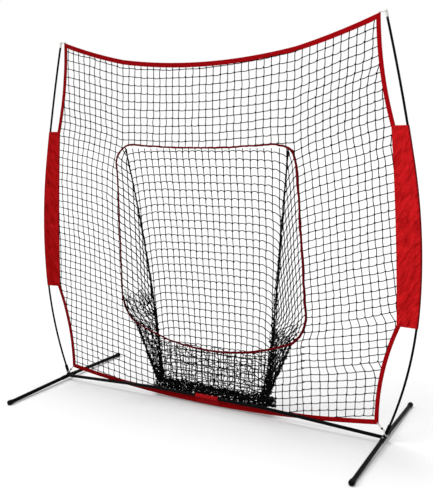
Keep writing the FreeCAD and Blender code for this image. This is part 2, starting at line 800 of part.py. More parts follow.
def low_edge(x):
    return S["band_width"] + bowl(S["bottom_sag_z"], S["corner_low_z"], x / S["corner_low_x"])


def top_edge(x):
    return bowl(S["top_sag_z"], S["crease_z"], x / S["crease_x"]) - S["band_width"]


def make_wing(side_name, side, sheet_face):
    seam = panel_line(side)
    outer = side_points(side)
    wedge = polygon(seam + [at(side * FAR, -S["hub_height"]), at(side * FAR, seam[0].z)])
    region = one_face(sheet_face.common(wedge), side_name + "_wing_net")
    foot = low_edge(seam[-1].x)
    head = S["crease_z"] - S["band_width"]
    rise = S["corner_low_z"] + S["band_width"]
    peak = S["corner_top_z"] - S["band_width"]
    rows = round((head - foot) / S["mesh_pitch"])
    columns = round((S["top_hem_x"] - abs(seam[2].x)) / S["mesh_pitch"])

    def point(column, row):
        share = row / rows
        inner_z = mix(foot, head, share)
        outer_z = mix(rise, peak, share)
        inner = at(line_x(seam, inner_z), inner_z)
        return mix(inner, at(line_x(outer, outer_z), outer_z), column / columns)

    netting, count = holed(region, point, (0, columns + 1), (0, rows))
    keep(solid(side_name + "_wing_net", slab(netting, S["net_thickness"])))
    return count


def make_middle_nets(sheet_face):
    left = panel_line(-1)
    right = panel_line(1)
    middle = sheet_face.common(polygon(left + right[::-1])).removeSplitter().Faces
    middle.sort(key=lambda face: face.CenterOfMass.z)
    width = S["zone_top_half"] + S["zone_low_half"]
    columns = round(width / S["mesh_pitch"])
    rows = round((S["top_sag_z"] - S["band_width"] - S["zone_top_mid_z"]) / S["mesh_pitch"])

    def above(column, row):
        share = column / columns
        x = mix(-S["crease_x"], S["crease_x"], share)
        rim = bowl(S["zone_top_mid_z"], S["zone_top_edge_z"], x / S["zone_top_edge_x"])
        z = mix(rim, top_edge(x), row / rows)
        return at(mix(line_x(left, z), line_x(right, z), share), z)

    low_rows = round((S["zone_lip_mid_z"] - low_edge(0)) / S["mesh_pitch"])

    def below(column, row):
        x = mix(left[-1].x, right[-1].x, column / columns)
        lip = bowl(S["zone_lip_mid_z"], S["zone_lip_z"], x / S["zone_lip_x"])
        return at(x, mix(low_edge(x), lip, row / low_rows))

    upper, upper_count = holed(middle[1], above, (0, columns), (-1, rows))
    lower, lower_count = holed(middle[0], below, (0, columns), (0, low_rows * 2))
    keep(solid("upper_net", slab(upper, S["net_thickness"])))
    keep(solid("lower_net", slab(lower, S["net_thickness"])))
    return upper_count, lower_count


def make_main_net():
    sheet_face = band_inside.cut(binding_outside)
    counts = [make_wing(side_name, side, sheet_face) for side_name, side in SIDES]
    print("gaps in the wings", counts, "above and below", make_middle_nets(sheet_face))
    keep(solid("strike_zone_binding", binding_ring))


# The cloth sleeves: a flat web from the bands' inner line, and a channel round the rod

def rod_point(station, height):
    """Point of the right rod's axis on one arc at a height, and its lean there."""
    lift = (height - station["centre"].z) / station["radius"].value
    lean = -math.asin(lift)
    return station["centre"] + across(lean) * station["radius"].value, lean


def channel_arcs():
    """The rod's axis between the hems, as arcs from the bottom up."""
    arcs = []
    stops = [S["hem_low_z"], STATIONS[1]["start"].z, STATIONS[2]["start"].z, S["hem_top_z"]]
    for station, low, high in zip(STATIONS, stops, stops[1:]):
        points = [rod_point(station, height)[0] for height in (low, (low + high) / 2, high)]
        arcs.append(arc(*points))
    return arcs


def pipe(path, radius, start, along):
    ring = Part.Wire([Part.makeCircle(radius, start, along)])
    return path.makePipeShell([ring], True, False)


def make_sleeve(side_name, side):
    arcs = channel_arcs()
    path = Part.Wire(arcs)
    start = arcs[0].Vertexes[0].Point
    end = arcs[-1].Vertexes[-1].Point
    if start.z > end.z:
        start, end = end, start
    within = at(S["corner_top_x"] / 2, S["hem_top_z"])
    edges = arcs + [Part.makeLine(end, within),
                    Part.makeLine(within, at(within.x, S["hem_low_z"])),
                    Part.makeLine(at(within.x, S["hem_low_z"]), start)]
    web = Part.Face(Part.Wire(Part.__sortEdges__(edges))).cut(band_inside)
    lean = rod_point(STATIONS[0], S["hem_low_z"])[1]
    along = Vector(math.sin(lean), 0, math.cos(lean))
    bore = S["rod_radius"] + S["ferrule_play"] + S["ferrule_wall"] + S["channel_play"]
    channel = pipe(path, bore + S["channel_wall"], start, along)
    hollow = pipe(path, bore, start, along)
    shape = slab(web, S["cloth"]).fuse(channel).cut(hollow)
    for mouth, outwards in ((start, along * -1), (end, UP)):
        shape = shape.cut(Part.makeCylinder(bore, bore, mouth, outwards))
    keep(solid(side_name + "_sleeve", shape.removeSplitter(), mirrored(side)))


# The ball pocket behind the strike zone

def pocket_y(z):
    """The pocket hangs back from the net as it goes down."""
    fall = (S["pocket_top_z"] - z) / (S["pocket_top_z"] - S["gather_top_z"])
    return mix(S["pocket_top_gap"], S["pocket_depth"], fall)


def rope_point(side_name, side, z):
    """A back corner of the pocket: the right one is straight, and the left one draws in."""
    share = (z - S["gather_top_z"]) / (S["pocket_top_z"] - S["gather_top_z"])
    chord = mix(S["pocket_low_" + side_name], S["pocket_top_" + side_name], share)
    draw = S["pocket_waist"] * 4 * share * (1 - share) if side < 0 else 0
    return at(side * (chord - draw), z, pocket_y(z))


def corner_edge(side_name, side, high):
    """A back corner from inside the gathered net up to a height, with its two ends."""
    low = S["gather_top_z"] - S["rope_radius"]
    points = [rope_point(side_name, side, height) for height in (low, (low + high) / 2, high)]
    edge = arc(*points) if side < 0 else Part.makeLine(points[0], points[2])
    return edge, points[0], points[2]


def gather_size():
    """Corner and lengths of the gathered net, which takes the feet of both ropes."""
    rim = S["rope_radius"] + S["gather_rim"]
    corner = Vector(-S["pocket_low_left"] - rim, S["gather_front"], S["gather_low_z"])
    length = Q["pocket_low_left"] + Q["rope_radius"] + Q["gather_rim"] + Q["gather_right"]
    width = Q["pocket_depth"] + Q["rope_radius"] + Q["gather_rim"] - Q["gather_front"]
    return corner, length, width, Q["gather_top_z"] - Q["gather_low_z"]


def make_gather():
    corner, length, width, height = gather_size()
    bar = part("Part::Box", "pocket_gather_bar", Placement(corner, Rotation()), Length=length,
               Width=width, Height=height)
    doc.recompute()
    rounded = part("Part::Fillet", "pocket_gather")
    rounded.Base = bar
    chosen = []
    for index, edge in enumerate(bar.Shape.Edges, start=1):
        middle = edge.CenterOfMass
        if abs(middle.z - corner.z) < 1:
            chosen.append((index, S["gather_belly"], S["gather_belly"]))
        elif abs(middle.z - corner.z - height.value) < 1:
            chosen.append((index, S["gather_round"], S["gather_round"]))
    rounded.Edges = chosen
    keep(rounded)
    doc.recompute()
    return rounded.Shape


def make_pocket():
    gather = make_gather()
    ropes = {}
    for side_name, side in SIDES:
        path, foot, head = corner_edge(side_name, side, S["pocket_top_z"] + 2 * S["rope_radius"])
        along = path.tangentAt(path.FirstParameter)
        rope = pipe(Part.Wire([path]), S["rope_radius"], foot, along)
        ropes[side_name] = rope.cut(binding_ring).cut(gather)
        keep(solid("pocket_%s_rope" % side_name, ropes[side_name]))

    left, left_foot, left_head = corner_edge("left", -1, S["pocket_top_z"])
    right, right_foot, right_head = corner_edge("right", 1, S["pocket_top_z"])
    outline = [left, right, Part.makeLine(left_foot, right_foot), Part.makeLine(left_head, right_head)]
    back = Part.Face(Part.Wire(Part.__sortEdges__(outline)))
    width = ((left_foot - right_foot).Length + (left_head - right_head).Length) / 2
    columns = round(width / S["mesh_pitch"])
    rows = round((S["pocket_top_z"] - S["gather_top_z"]) / S["mesh_pitch"])

    def point(column, row):
        z = mix(S["gather_top_z"], S["pocket_top_z"], row / rows)
        return mix(rope_point("left", -1, z), rope_point("right", 1, z), column / columns)

    netting, count = holed(back, point, (0, columns), (0, rows))
    print("gaps in the pocket's back", count)
    moved = netting.copy()
    moved.translate(Vector(0, -S["net_thickness"] / 2, 0))
    shape = moved.extrude(Vector(0, S["net_thickness"], 0)).cut(binding_ring).cut(gather)
    for rope in ropes.values():
        shape = shape.cut(rope)
    keep(solid("pocket_back_net", shape))
    for side_name, side in SIDES:
        make_pocket_side(side_name, side, ropes[side_name], gather)


def outward(side, facet):
    """The normal of a facet that points away from the middle of the pocket."""
    normal = (facet[1] - facet[0]).cross(facet[2] - facet[0]).normalize()
    return normal * (side if normal.x > 0 else -side)


def make_pocket_side(side_name, side, rope, gather):
    """Facets from the strike zone's side edge to the rope, then down to the gathered net."""
    high = S["pocket_top_z"]
    low = S["gather_top_z"] - S["rope_radius"]
    rope_points = [rope_point(side_name, side, mix(high, low, share / 3)) for share in range(4)]
    corners = zone_corners(side)
    front = [at(corner.x, corner.z, S["pocket_top_gap"]) for corner in corners[2:5]]
    foot = at(rope_points[3].x - side * S["side_foot"], low, S["gather_front"] + S["rope_radius"])
    facets = [(rope_points[0], front[0], rope_points[1]), (front[0], front[1], rope_points[1]),
              (front[1], rope_points[2], rope_points[1]), (front[1], front[2], rope_points[2]),
              (front[2], rope_points[3], rope_points[2]), (front[2], foot, rope_points[3])]
    flat = outward(side, facets[1])
    through = (flat + outward(side, facets[5])).normalize()
    through = through * (S["net_thickness"] / through.dot(flat))
    shape = None
    for facet in facets:
        face = polygon(list(facet))
        face.translate(through * -0.5)
        wedge = face.extrude(through)
        shape = wedge if shape is None else shape.fuse(wedge)

    outline = polygon([at(point.x, point.z) for point in rope_points[:1] + front + rope_points[:0:-1]])
    inset = outline.makeOffset2D(-S["strand"], 2)
    reach = S["mesh_pitch"] / math.sqrt(2)
    clear = reach - S["strand"] / math.sqrt(2)
    middle = at((front[0].x + rope_points[3].x) / 2, low)
    gaps = []
    spread = int(outline.BoundBox.XLength / reach)
    for row in range(int((high - low) / reach) + 1):
        for column in range(-spread, spread + 1):
            if (row + column) % 2:
                continue
            x = middle.x + column * reach
            z = middle.z + row * reach
            diamond = polygon([at(x + clear, z), at(x, z + clear), at(x - clear, z), at(x, z - clear)])
            for gap in diamond.common(inset).Faces:
                if gap.Area > S["strand"] * S["strand"]:
                    gap.translate(Vector(0, -S["pocket_depth"], 0))
                    gaps.append(gap.extrude(Vector(0, S["pocket_depth"] * 3, 0)))
    print("gaps in the pocket's", side_name, "side", len(gaps))
    shape = shape.cut(Part.makeCompound(gaps))
    shape = shape.cut(gather).cut(rope).cut(binding_ring)
    keep(solid("pocket_%s_net" % side_name, shape))


# The strap that ties the bottom band to the crossbar

def make_strap():
    centre = Vector(-S["strap_left"], -bar_forward, S["bar_mid_height"])
    inner = S["bar_radius"] + S["strap_gap"]
    outer = inner + S["strap_thickness"]
    width = S["strap_left"] + S["strap_right"]
    along = Vector(1, 0, 0)
    loop = Part.makeCylinder(outer, width, centre, along)
    tail = Part.makeBox(width, S["strap_thickness"], centre.z - S["strap_tail_z"],
                        Vector(centre.x, -half_band - S["strap_thickness"], S["strap_tail_z"]))
    shape = loop.fuse(tail).cut(Part.makeCylinder(inner, width, centre, along))
    keep(solid("crossbar_strap", shape.removeSplitter()))


# Elastic ties from the corners of the net to the rods

def tie_cord(corner, post, post_axis, post_radius, kink=None):
    """A loop of cord round a post, with both ends on the two faces of the net's corner."""
    toward = (corner - post).normalize()
    normal = toward.cross(BACK)
    slant = abs(normal.dot(post_axis))
    loop = (post_radius + S["elastic_gap"]) / slant + S["elastic_radius"]
    lap = half_band + S["elastic_radius"] / 2
    end = corner + toward * S["elastic_lap"]
    pieces = []
    near = S["elastic_spread"]
    for face in (-1, 1):
        joint = (post + toward * kink if kink else end) + BACK * (face * (near if kink else lap))
        if kink:
            finish = end + BACK * (face * lap)
            pieces.append(rod_between(joint, finish))
            pieces.append(Part.makeSphere(S["elastic_radius"], joint))
        reach = (joint - post).Length
        swing = math.acos(loop / reach)
        aim = math.atan2((joint - post).dot(BACK), (joint - post).dot(toward)) + face * swing
        touch = post + toward * (loop * math.cos(aim)) + BACK * (loop * math.sin(aim))
        pieces.append(rod_between(touch, joint))
        pieces.append(Part.makeSphere(S["elastic_radius"], touch))
        if face > 0:
            turn = 2 * (math.pi - aim)
    bend = Part.makeTorus(loop, S["elastic_radius"], Vector(), UP, 0, 360, math.degrees(turn))
    bend.Placement = Placement(post, Rotation(toward, BACK, Vector(), "XYZ")).multiply(
        Placement(Vector(), Rotation(UP, math.degrees(math.pi - turn / 2))))
    shape = bend
    for piece in pieces:
        shape = shape.fuse(piece)
    return shape.removeSplitter()


def rod_between(start, end):
    return Part.makeCylinder(S["elastic_radius"], (end - start).Length, start, end - start)


def make_ties():
    bands = {node.Label: node.Shape for node in nodes if node.Label.endswith("band")}
    upper = []
    lower = []
    balls = []
    for side_name, side in SIDES:
        turn = mirrored(side)
        top = at(S["corner_top_x"], S["corner_top_z"])
        groove = rod_end + rod_direction() * (S["tip_shoulder"] + S["tip_neck"] / 2)
        cord = tie_cord(top, groove, rod_direction(), S["tip_neck_radius"])
        cord.Placement = turn.multiply(cord.Placement)
        for label in ("top_band", side_name + "_upper_band"):
            cord = cord.cut(bands[label])
        upper.append(cord)

        low = at(S["corner_low_x"], S["corner_low_z"])
        post = hub_point(1) + socket_direction(1) * S["tie_place"]
        away = (low - post).Length - S["ball_place"]
        cord = tie_cord(low, post, socket_direction(1), S["socket_radius"], away)
        ball = Part.makeSphere(S["ball_radius"], post + (low - post).normalize() * away).cut(cord)
        cord.Placement = turn.multiply(cord.Placement)
        ball.Placement = turn.multiply(ball.Placement)
        for label in ("bottom_band", side_name + "_lower_band"):
            cord = cord.cut(bands[label])
        lower.append(cord)
        balls.append(ball)
    keep(solid("upper_ties", Part.makeCompound(upper)))
    keep(solid("lower_ties", Part.makeCompound(lower)))
    keep(solid("tie_balls", Part.makeCompound(balls)))


# Put it all together

for side_name, side in SIDES:
    make_hub(side_name, side)
    for end_name, end in ENDS:
        make_leg(side_name, side, end_name, end)
        place = slid(leg_place(side, end), S["leg_button_place"])
        make_button("%s_%s_button" % (side_name, end_name), place, Q["leg_button_radius"],
                    Q["sleeve_radius"], leg_inside)
    make_rods(side_name, side)
make_crossbar()
make_bands()
make_main_net()
for side_name, side in SIDES:
    make_sleeve(side_name, side)
make_pocket()
make_strap()
make_ties()
doc.recompute()

for thing in doc.Objects:
    if "Invalid" in thing.State or "Error" in thing.State:
        raise ValueError("%s did not compute: %s" % (thing.Label, thing.State))
for node in nodes:
    if node.Shape.isNull() or not node.Shape.isValid():
        raise ValueError("%s has no valid shape" % node.Label)

os.makedirs("parts", exist_ok=True)
for node in nodes:
    node.Shape.exportStep("parts/%s.step" % node.Label)
print(len(nodes), "parts")
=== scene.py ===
import math
import random
from functools import partial

import bmesh
import bpy
import numpy as np
from mathutils import Matrix, Vector, noise


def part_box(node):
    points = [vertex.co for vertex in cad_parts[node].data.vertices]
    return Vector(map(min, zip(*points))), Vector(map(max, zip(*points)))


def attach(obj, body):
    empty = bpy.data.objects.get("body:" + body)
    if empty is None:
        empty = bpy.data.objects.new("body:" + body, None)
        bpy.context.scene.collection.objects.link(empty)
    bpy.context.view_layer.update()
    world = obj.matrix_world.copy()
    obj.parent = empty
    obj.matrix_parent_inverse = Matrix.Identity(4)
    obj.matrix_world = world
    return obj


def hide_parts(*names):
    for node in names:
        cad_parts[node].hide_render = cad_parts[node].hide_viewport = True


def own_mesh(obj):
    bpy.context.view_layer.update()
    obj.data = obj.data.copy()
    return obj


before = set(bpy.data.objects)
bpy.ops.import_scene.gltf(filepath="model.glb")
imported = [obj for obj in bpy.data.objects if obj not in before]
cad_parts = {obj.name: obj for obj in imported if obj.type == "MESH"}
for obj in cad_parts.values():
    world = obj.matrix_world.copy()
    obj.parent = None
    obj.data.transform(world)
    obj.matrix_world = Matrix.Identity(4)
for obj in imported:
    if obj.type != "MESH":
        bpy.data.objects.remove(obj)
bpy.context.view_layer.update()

# Pitching target net, in metres: X runs along the crossbar, Y from the pitcher's side to the
# back, Z up. The net hangs in the plane Y = 0.

scene = bpy.context.scene
scene.view_settings.view_transform = "Standard"
back = Vector((0, 1, 0))
sides = {"left": -1, "right": 1}
noise.seed_set(7)        # without it, noise_vector differs from run to run


def linear(hexColour):
    # an sRGB hex value as the linear colour that a shader takes
    channels = [int(hexColour[start:start + 2], 16) / 255 for start in (1, 3, 5)]
    light = [c / 12.92 if c <= 0.04045 else ((c + 0.055) / 1.055) ** 2.4 for c in channels]
    return (*light, 1)


def addNode(tree, kind, inputs=None, **settings):
    # one node: its settings, then its inputs, each a value, or a link from a node's first output
    # or from (node, output), or a list of such links
    node = tree.nodes.new(kind)
    for name, value in settings.items():
        setattr(node, name, value)
    for key, given in (inputs or {}).items():
        for value in given if isinstance(given, list) else [given]:
            source, output = value if isinstance(value, tuple) and len(value) == 2 else (value, 0)
            if isinstance(source, bpy.types.Node):
                tree.links.new(source.outputs[output], node.inputs[key])
            else:
                node.inputs[key].default_value = value
    return node


def newObject(name, data):
    made = bpy.data.objects.new(name, data)
    scene.collection.objects.link(made)
    return made


def newMesh(name, vertices, edges, faces):
    mesh = bpy.data.meshes.new(name)
    mesh.from_pydata(vertices, edges, faces)
    return mesh


def mix(start, end, share):
    return start + (end - start) * share


def clamp(value):
    return min(1.0, max(0.0, value))


def ramp(place, table):
    # the value at a place, from a table of (place, value)
    return float(np.interp(place, *zip(*table)))


def between(index, values):
    # the value at an index that may lie between two whole ones
    return float(np.interp(index, range(len(values)), values))


# Camera

photoView = {
    "height": 496,                     # of the photograph, in pixels
    "focal": 702.7,                    # focal length, in the same pixels
    "place": (1.978, -3.411, 1.543),   # a standing person's eye, right of the net
    "yaw": 29.22, "pitch": 8.71, "roll": -0.59,
}


def makeCamera():
    yaw, pitch, roll = [math.radians(photoView[name]) for name in ("yaw", "pitch", "roll")]
    ahead = Vector((-math.sin(yaw) * math.cos(pitch), math.cos(yaw) * math.cos(pitch),
                    -math.sin(pitch)))
    level = Vector((math.cos(yaw), math.sin(yaw), 0))
    above = level.cross(ahead)
    right = level * math.cos(roll) + above * math.sin(roll)
    top = above * math.cos(roll) - level * math.sin(roll)
    turn = Matrix((right, top, -ahead)).transposed().to_4x4()
    data = bpy.data.cameras.new("photoCamera")
    data.lens = data.sensor_width * photoView["focal"] / photoView["height"]
    scene.camera = newObject("photoCamera", data)
    scene.camera.matrix_world = Matrix.Translation(photoView["place"]) @ turn


# Floor and light

studio = {
    "floorSize": 400.0, "floorColour": "#d6d6d6",
    "floorGlow": 0.16,                 # what the camera sees added to the floor, so that it reads white
    "skyStrength": 0.4,
    "keyStrength": 2.0, "keyFrom": (-0.35, 0.4, 2.6), "keySoftness": 26,
    "fillStrength": 1.6, "fillFrom": (-2.2, -1.6, 2.4), "fillSoftness": 24,
}


def seenDirectly(add):
    # 1 for what the camera sees straight, in a reflection or through glass
    path = add("ShaderNodeLightPath")
    either = add("ShaderNodeMath", {0: (path, "Is Camera Ray"), 1: (path, "Is Glossy Ray")},
                 operation="MAXIMUM")
    return add("ShaderNodeMath", {0: either, 1: (path, "Is Transmission Ray")}, operation="MAXIMUM")


def newMaterial(name):
    # an empty material, and the function that adds a node to it
    material = bpy.data.materials.new(name)
    material.use_nodes = True
    material.node_tree.nodes.clear()
    return material, partial(addNode, material.node_tree)


def makeStudio():
    world = bpy.data.worlds.new("studioWorld")
    world.use_nodes = True
    scene.world = world
    world.node_tree.nodes.clear()
    add = partial(addNode, world.node_tree)
    soft = add("ShaderNodeBackground", {"Color": (1, 1, 1, 1), "Strength": studio["skyStrength"]})
    white = add("ShaderNodeBackground", {"Color": (1, 1, 1, 1), "Strength": 1.0})
    both = add("ShaderNodeMixShader", {0: seenDirectly(add), 1: soft, 2: white})
    add("ShaderNodeOutputWorld", {"Surface": both})

    half = studio["floorSize"] / 2
    corners = [(-half, -half, 0), (half, -half, 0), (half, half, 0), (-half, half, 0)]
    floor = newObject("studioFloor", newMesh("studioFloor", corners, [], [(0, 1, 2, 3)]))
    paint, add = newMaterial("matteStudioFloor")
    matte = add("ShaderNodeBsdfDiffuse", {"Color": linear(studio["floorColour"])})
    strength = add("ShaderNodeMath", {0: seenDirectly(add), 1: studio["floorGlow"]},
                   operation="MULTIPLY")
    glow = add("ShaderNodeEmission", {"Color": (1, 1, 1, 1), "Strength": strength})
    both = add("ShaderNodeAddShader", {0: matte, 1: glow})
    add("ShaderNodeOutputMaterial", {"Surface": both})
    floor.data.materials.append(paint)

    for name in ("key", "fill"):
        data = bpy.data.lights.new(name + "Light", "SUN")
        data.energy = studio[name + "Strength"]
        data.angle = math.radians(studio[name + "Softness"])
        lamp = newObject(name + "Light", data)
        lamp.rotation_euler = Vector(studio[name + "From"]).to_track_quat("Z", "Y").to_euler()


# Materials

def perMetre(millimetres):
    # texture scale at which a pattern repeats about every so many millimetres
    return 1000 / millimetres


# Each surface: the grain of its two shades in millimetres, dark and light; the grain of its skin in
# millimetres, its height and its lowest and highest roughness; and the shader's other values.
surfaces = {
    # black gloss powder coat on steel tube: orange peel breaks up long highlights
    "powderCoatedSteel": ((90, "#020203", "#0a0a0b"), (1.6, 0.00008, 0.3, 0.44),
                          {"Specular IOR Level": 0.03}),
    # soft black PVC foot: matt, faintly grained
    "mouldedPvc": ((12, "#060607", "#101011"), (0.8, 0.0001, 0.5, 0.68), {"Specular IOR Level": 0.05}),
    # bright button steel with a faint yellowish bloom
    "zincPlatedSteel": ((5, "#b9b7ae", "#d2d1cb"), (0.5, 0.00003, 0.2, 0.34), {"Metallic": 1.0}),
    # rolled steel strip, blued a little by its heat treatment
    "temperedSpringStrip": ((9, "#5f6268", "#85868a"), (0.7, 0.00004, 0.3, 0.44), {"Metallic": 1.0}),
    # ferrule cut from drawn tube: pale, with an even sheen
    "drawnAluminium": ((20, "#9c9ea1", "#bcbdbf"), (0.6, 0.00004, 0.28, 0.42), {"Metallic": 1.0}),
    # milky white rod tip: light sinks in a little
    "mouldedNylon": ((15, "#e6e5df", "#f3f2ee"), (1.0, 0.00005, 0.42, 0.55),
                     {"Subsurface Weight": 0.15, "Subsurface Scale": 0.003}),
    # twisted and knotted black twine: dull, its plies catch a little light
    "polyesterTwine": ((14, "#020202", "#0d0d0e"), (1.4, 0.0004, 0.62, 0.85),
                       {"Specular IOR Level": 0.05}),
}


def plainSurface(name, shades, skin, others):
    # two close shades mixed by soft noise, a fine bump, and a roughness that wanders
    grain, dark, light = shades
    fine, height, smooth, rough = skin
    material, add = newMaterial(name)
    place = add("ShaderNodeTexCoord")
    spots, pores, wander = [
        add("ShaderNodeTexNoise", {"Vector": (place, "Object"), "Scale": perMetre(size),
                                   "Detail": detail})
        for size, detail in ((grain, 4.0), (fine, 2.0), (60, 3.0))]
    tone = add("ShaderNodeMix", {0: (spots, "Fac"), 6: linear(dark), 7: linear(light)},
               data_type="RGBA")
    bump = add("ShaderNodeBump", {"Height": (pores, "Fac"), "Distance": height, "Strength": 0.6})
    spread = add("ShaderNodeMapRange", {"Value": (wander, "Fac"), "From Min": 0.3,
                                        "From Max": 0.7, "To Min": smooth, "To Max": rough})
    shader = add("ShaderNodeBsdfPrincipled",
                 {"Base Color": (tone, 2), "Normal": bump, "Roughness": spread, **others})
    add("ShaderNodeOutputMaterial", {"Surface": shader})
    return material


def pultrudedFibreglass():
    # drawn rod in black polyester resin: satin, with streaks along its length
    material, add = newMaterial("pultrudedFibreglass")
    place = add("ShaderNodeTexCoord")
    stretched = add("ShaderNodeMapping", {"Vector": (place, "Object"), "Scale": (1, 1, 0.02)})
    streaks = add("ShaderNodeTexNoise", {"Vector": stretched, "Scale": perMetre(1.2), "Detail": 2.0})
    tone = add("ShaderNodeMix", {0: (streaks, "Fac"), 6: linear("#040405"),
                                 7: linear("#111112")}, data_type="RGBA")
    bump = add("ShaderNodeBump", {"Height": (streaks, "Fac"), "Distance": 0.0001, "Strength": 0.5})
    shader = add("ShaderNodeBsdfPrincipled", {"Base Color": (tone, 2), "Normal": bump,
                                              "Roughness": 0.4, "Specular IOR Level": 0.03})
    add("ShaderNodeOutputMaterial", {"Surface": shader})
    return material


# Each cloth: its shaded and its lit colour, which painted light and shade mix, two thread spacings
# in millimetres, the height of the weave, its roughness, and how strong its creases are. Threads are
# drawn coarser than real ones, up to 3 mm, so that the weave shows at all.
cloths = {
    # folded tape: fine ribs take the shine off a deep red
    "polyesterWebbing": ("#740204", "#be0610", 2.0, 3.0, 0.0004, 0.7, 0.15),
    # coated sleeve cloth: bright red with slanting creases
    "oxfordCloth": ("#960102", "#dc1b20", 2.4, 2.4, 0.0003, 0.62, 0.65),
    # narrow tape, in its own shade for much of its way
    "bindingTape": ("#300105", "#800a10", 1.6, 1.6, 0.0003, 0.7, 0.15),
    # brushed loops: a flat, fuller red
    "hookAndLoopTape": ("#8a0b10", "#d01e24", 1.8, 1.8, 0.0005, 0.8, 0.2),
    # twisted thread: beads a little duller than the tape
    "sewingThread": ("#6e080a", "#a0181b", 0.8, 0.8, 0.0001, 0.5, 0.05),
    # white braid round rubber, matt
    "braidedElastic": ("#dcdbd6", "#efeeea", 1.2, 1.2, 0.0002, 0.75, 0.05),
}
creasesAndShading = {
    "creaseSlope": 58,                 # the creases rise outwards on both sides, in degrees
    "creaseSize": (0.070, 0.070, 0.017), "creaseDepth": 0.012,
    "reach": 1.3, "sideLightShare": 0.3,         # painted light and shade: to the left end, darker by so much, and to the right, lighter
    "calm": 0.5,                       # strength of the creases at the left end
    "low": 0.6, "high": 1.6, "rise": 0.12,   # painted light: lighter from one height to the other
    "rodShade": "#2a0305",                 # painted shade over the outside of the rod
    "waveTurn": 0.31416,               # a wave texture repeats every pi / 10 units of its scaled space
}


def wovenCloth(name, dark, light, across, along, height, roughness, wrinkles):
    # woven on the piece's own UV map in metres; painted light makes the cloth lighter up and to the
    # right, and painted shade darkens it in the creases and over the outside of the rod, where the
    # sleeve's attribute marks it
    material, add = newMaterial(name)
    place = add("ShaderNodeTexCoord")
    axes = add("ShaderNodeSeparateXYZ", {0: (place, "Object")})
    # painted light, lighter to the right and higher up, and the creases' strength along the cloth
    sideLight, calmer, heightLight = [
        add("ShaderNodeMapRange", {"Value": (axes, axis), "From Min": start, "From Max": end,
                                   "To Min": least, "To Max": most})
        for axis, start, end, least, most in (
            ("X", -creasesAndShading["reach"], creasesAndShading["reach"], -creasesAndShading["sideLightShare"], creasesAndShading["sideLightShare"]),
            ("X", -creasesAndShading["reach"], creasesAndShading["reach"], creasesAndShading["calm"], 1.0),
            ("Z", creasesAndShading["low"], creasesAndShading["high"], 0.5 - creasesAndShading["rise"], 0.5 + creasesAndShading["rise"]))]
    aside = add("ShaderNodeMath", {0: (axes, "X")}, operation="ABSOLUTE")
    mirrored = add("ShaderNodeCombineXYZ", {"X": aside, "Y": (axes, "Y"), "Z": (axes, "Z")})
    slanted = add("ShaderNodeMapping",
                  {"Vector": mirrored, "Rotation": (0, -math.radians(creasesAndShading["creaseSlope"]), 0),
                   "Scale": creasesAndShading["creaseSize"]}, vector_type="TEXTURE")
    creased = add("ShaderNodeTexNoise", {"Vector": slanted, "Scale": 1.0, "Detail": 5.0,
                                         "Roughness": 0.6, "Distortion": 0.6})
    # painted shade and light: the crease noise darkens the colour in the creases and lightens it on
    # their ridges
    spots = add("ShaderNodeMapRange", {"Value": (creased, "Fac"), "From Min": 0.3, "From Max": 0.7,
                                       "To Min": -wrinkles, "To Max": wrinkles})
    uneven = add("ShaderNodeMath", {0: spots, 1: calmer}, operation="MULTIPLY")
    # painted light, then the painted crease shade added to it
    paintedLight = add("ShaderNodeMath", {0: sideLight, 1: heightLight}, operation="ADD")
    shade = add("ShaderNodeMath", {0: paintedLight, 1: uneven}, operation="ADD", use_clamp=True)
    tone = add("ShaderNodeMix", {0: shade, 6: linear(dark), 7: linear(light)}, data_type="RGBA")
    # painted shade: darker over the outside of the rod, where the sleeve's attribute says so
    rodShade = add("ShaderNodeAttribute", attribute_name="rodShadeMask")
    edge = add("ShaderNodeMix", {0: (rodShade, "Fac"), 6: (tone, 2), 7: linear(creasesAndShading["rodShade"])},
               data_type="RGBA")
    weft, warp = [
        add("ShaderNodeTexWave", {"Vector": (place, "UV"),
                                  "Scale": perMetre(spacing) * creasesAndShading["waveTurn"]},
            bands_direction=axis)
        for spacing, axis in ((along, "X"), (across, "Y"))]
    weave = add("ShaderNodeMath", {0: (weft, "Fac"), 1: (warp, "Fac")}, operation="ADD")
    wrinkled = add("ShaderNodeBump", {"Height": (creased, "Fac"), "Strength": calmer,
                                      "Distance": creasesAndShading["creaseDepth"] * wrinkles})
    bump = add("ShaderNodeBump", {"Height": weave, "Distance": height, "Strength": 0.8,
                                  "Normal": wrinkled})
    shader = add("ShaderNodeBsdfPrincipled",
                 {"Base Color": (edge, 2), "Normal": bump, "Roughness": roughness,
                  "Specular IOR Level": 0.03})
    add("ShaderNodeOutputMaterial", {"Surface": shader})
    return material


print("stage: finishes")
finishes = {"pultrudedFibreglass": pultrudedFibreglass()}
finishes.update({name: plainSurface(name, *values) for name, values in surfaces.items()})
finishes.update({name: wovenCloth(name, *values) for name, values in cloths.items()})

# the finish of each solid that shows as it is, by the last word of its name
frameFinish = {
    "hub": "powderCoatedSteel", "leg": "powderCoatedSteel", "crossbar": "powderCoatedSteel",
    "spigot": "powderCoatedSteel", "cap": "mouldedPvc", "balls": "mouldedPvc",
    "button": "zincPlatedSteel", "spring": "temperedSpringStrip", "rod": "pultrudedFibreglass",
    "ferrules": "drawnAluminium", "tip": "mouldedNylon", "ties": "braidedElastic",
}


def finishFrame():
    for name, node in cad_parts.items():
        finish = frameFinish.get(name.split("_")[-1])
        if finish:
            node.data.materials.clear()
            node.data.materials.append(finishes[finish])


pressTravel = {"front": 0.0048, "back": 0.0048, "bar": 0.0047}   # of each button into its tube


def bendSprings():
    # gives each button's spring its own copy of its mesh
    for sideName in sides:
        for part, travel in pressTravel.items():
            label = "%s_%s_" % (sideName, part)
            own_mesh(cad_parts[label + "spring"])


# Node trees

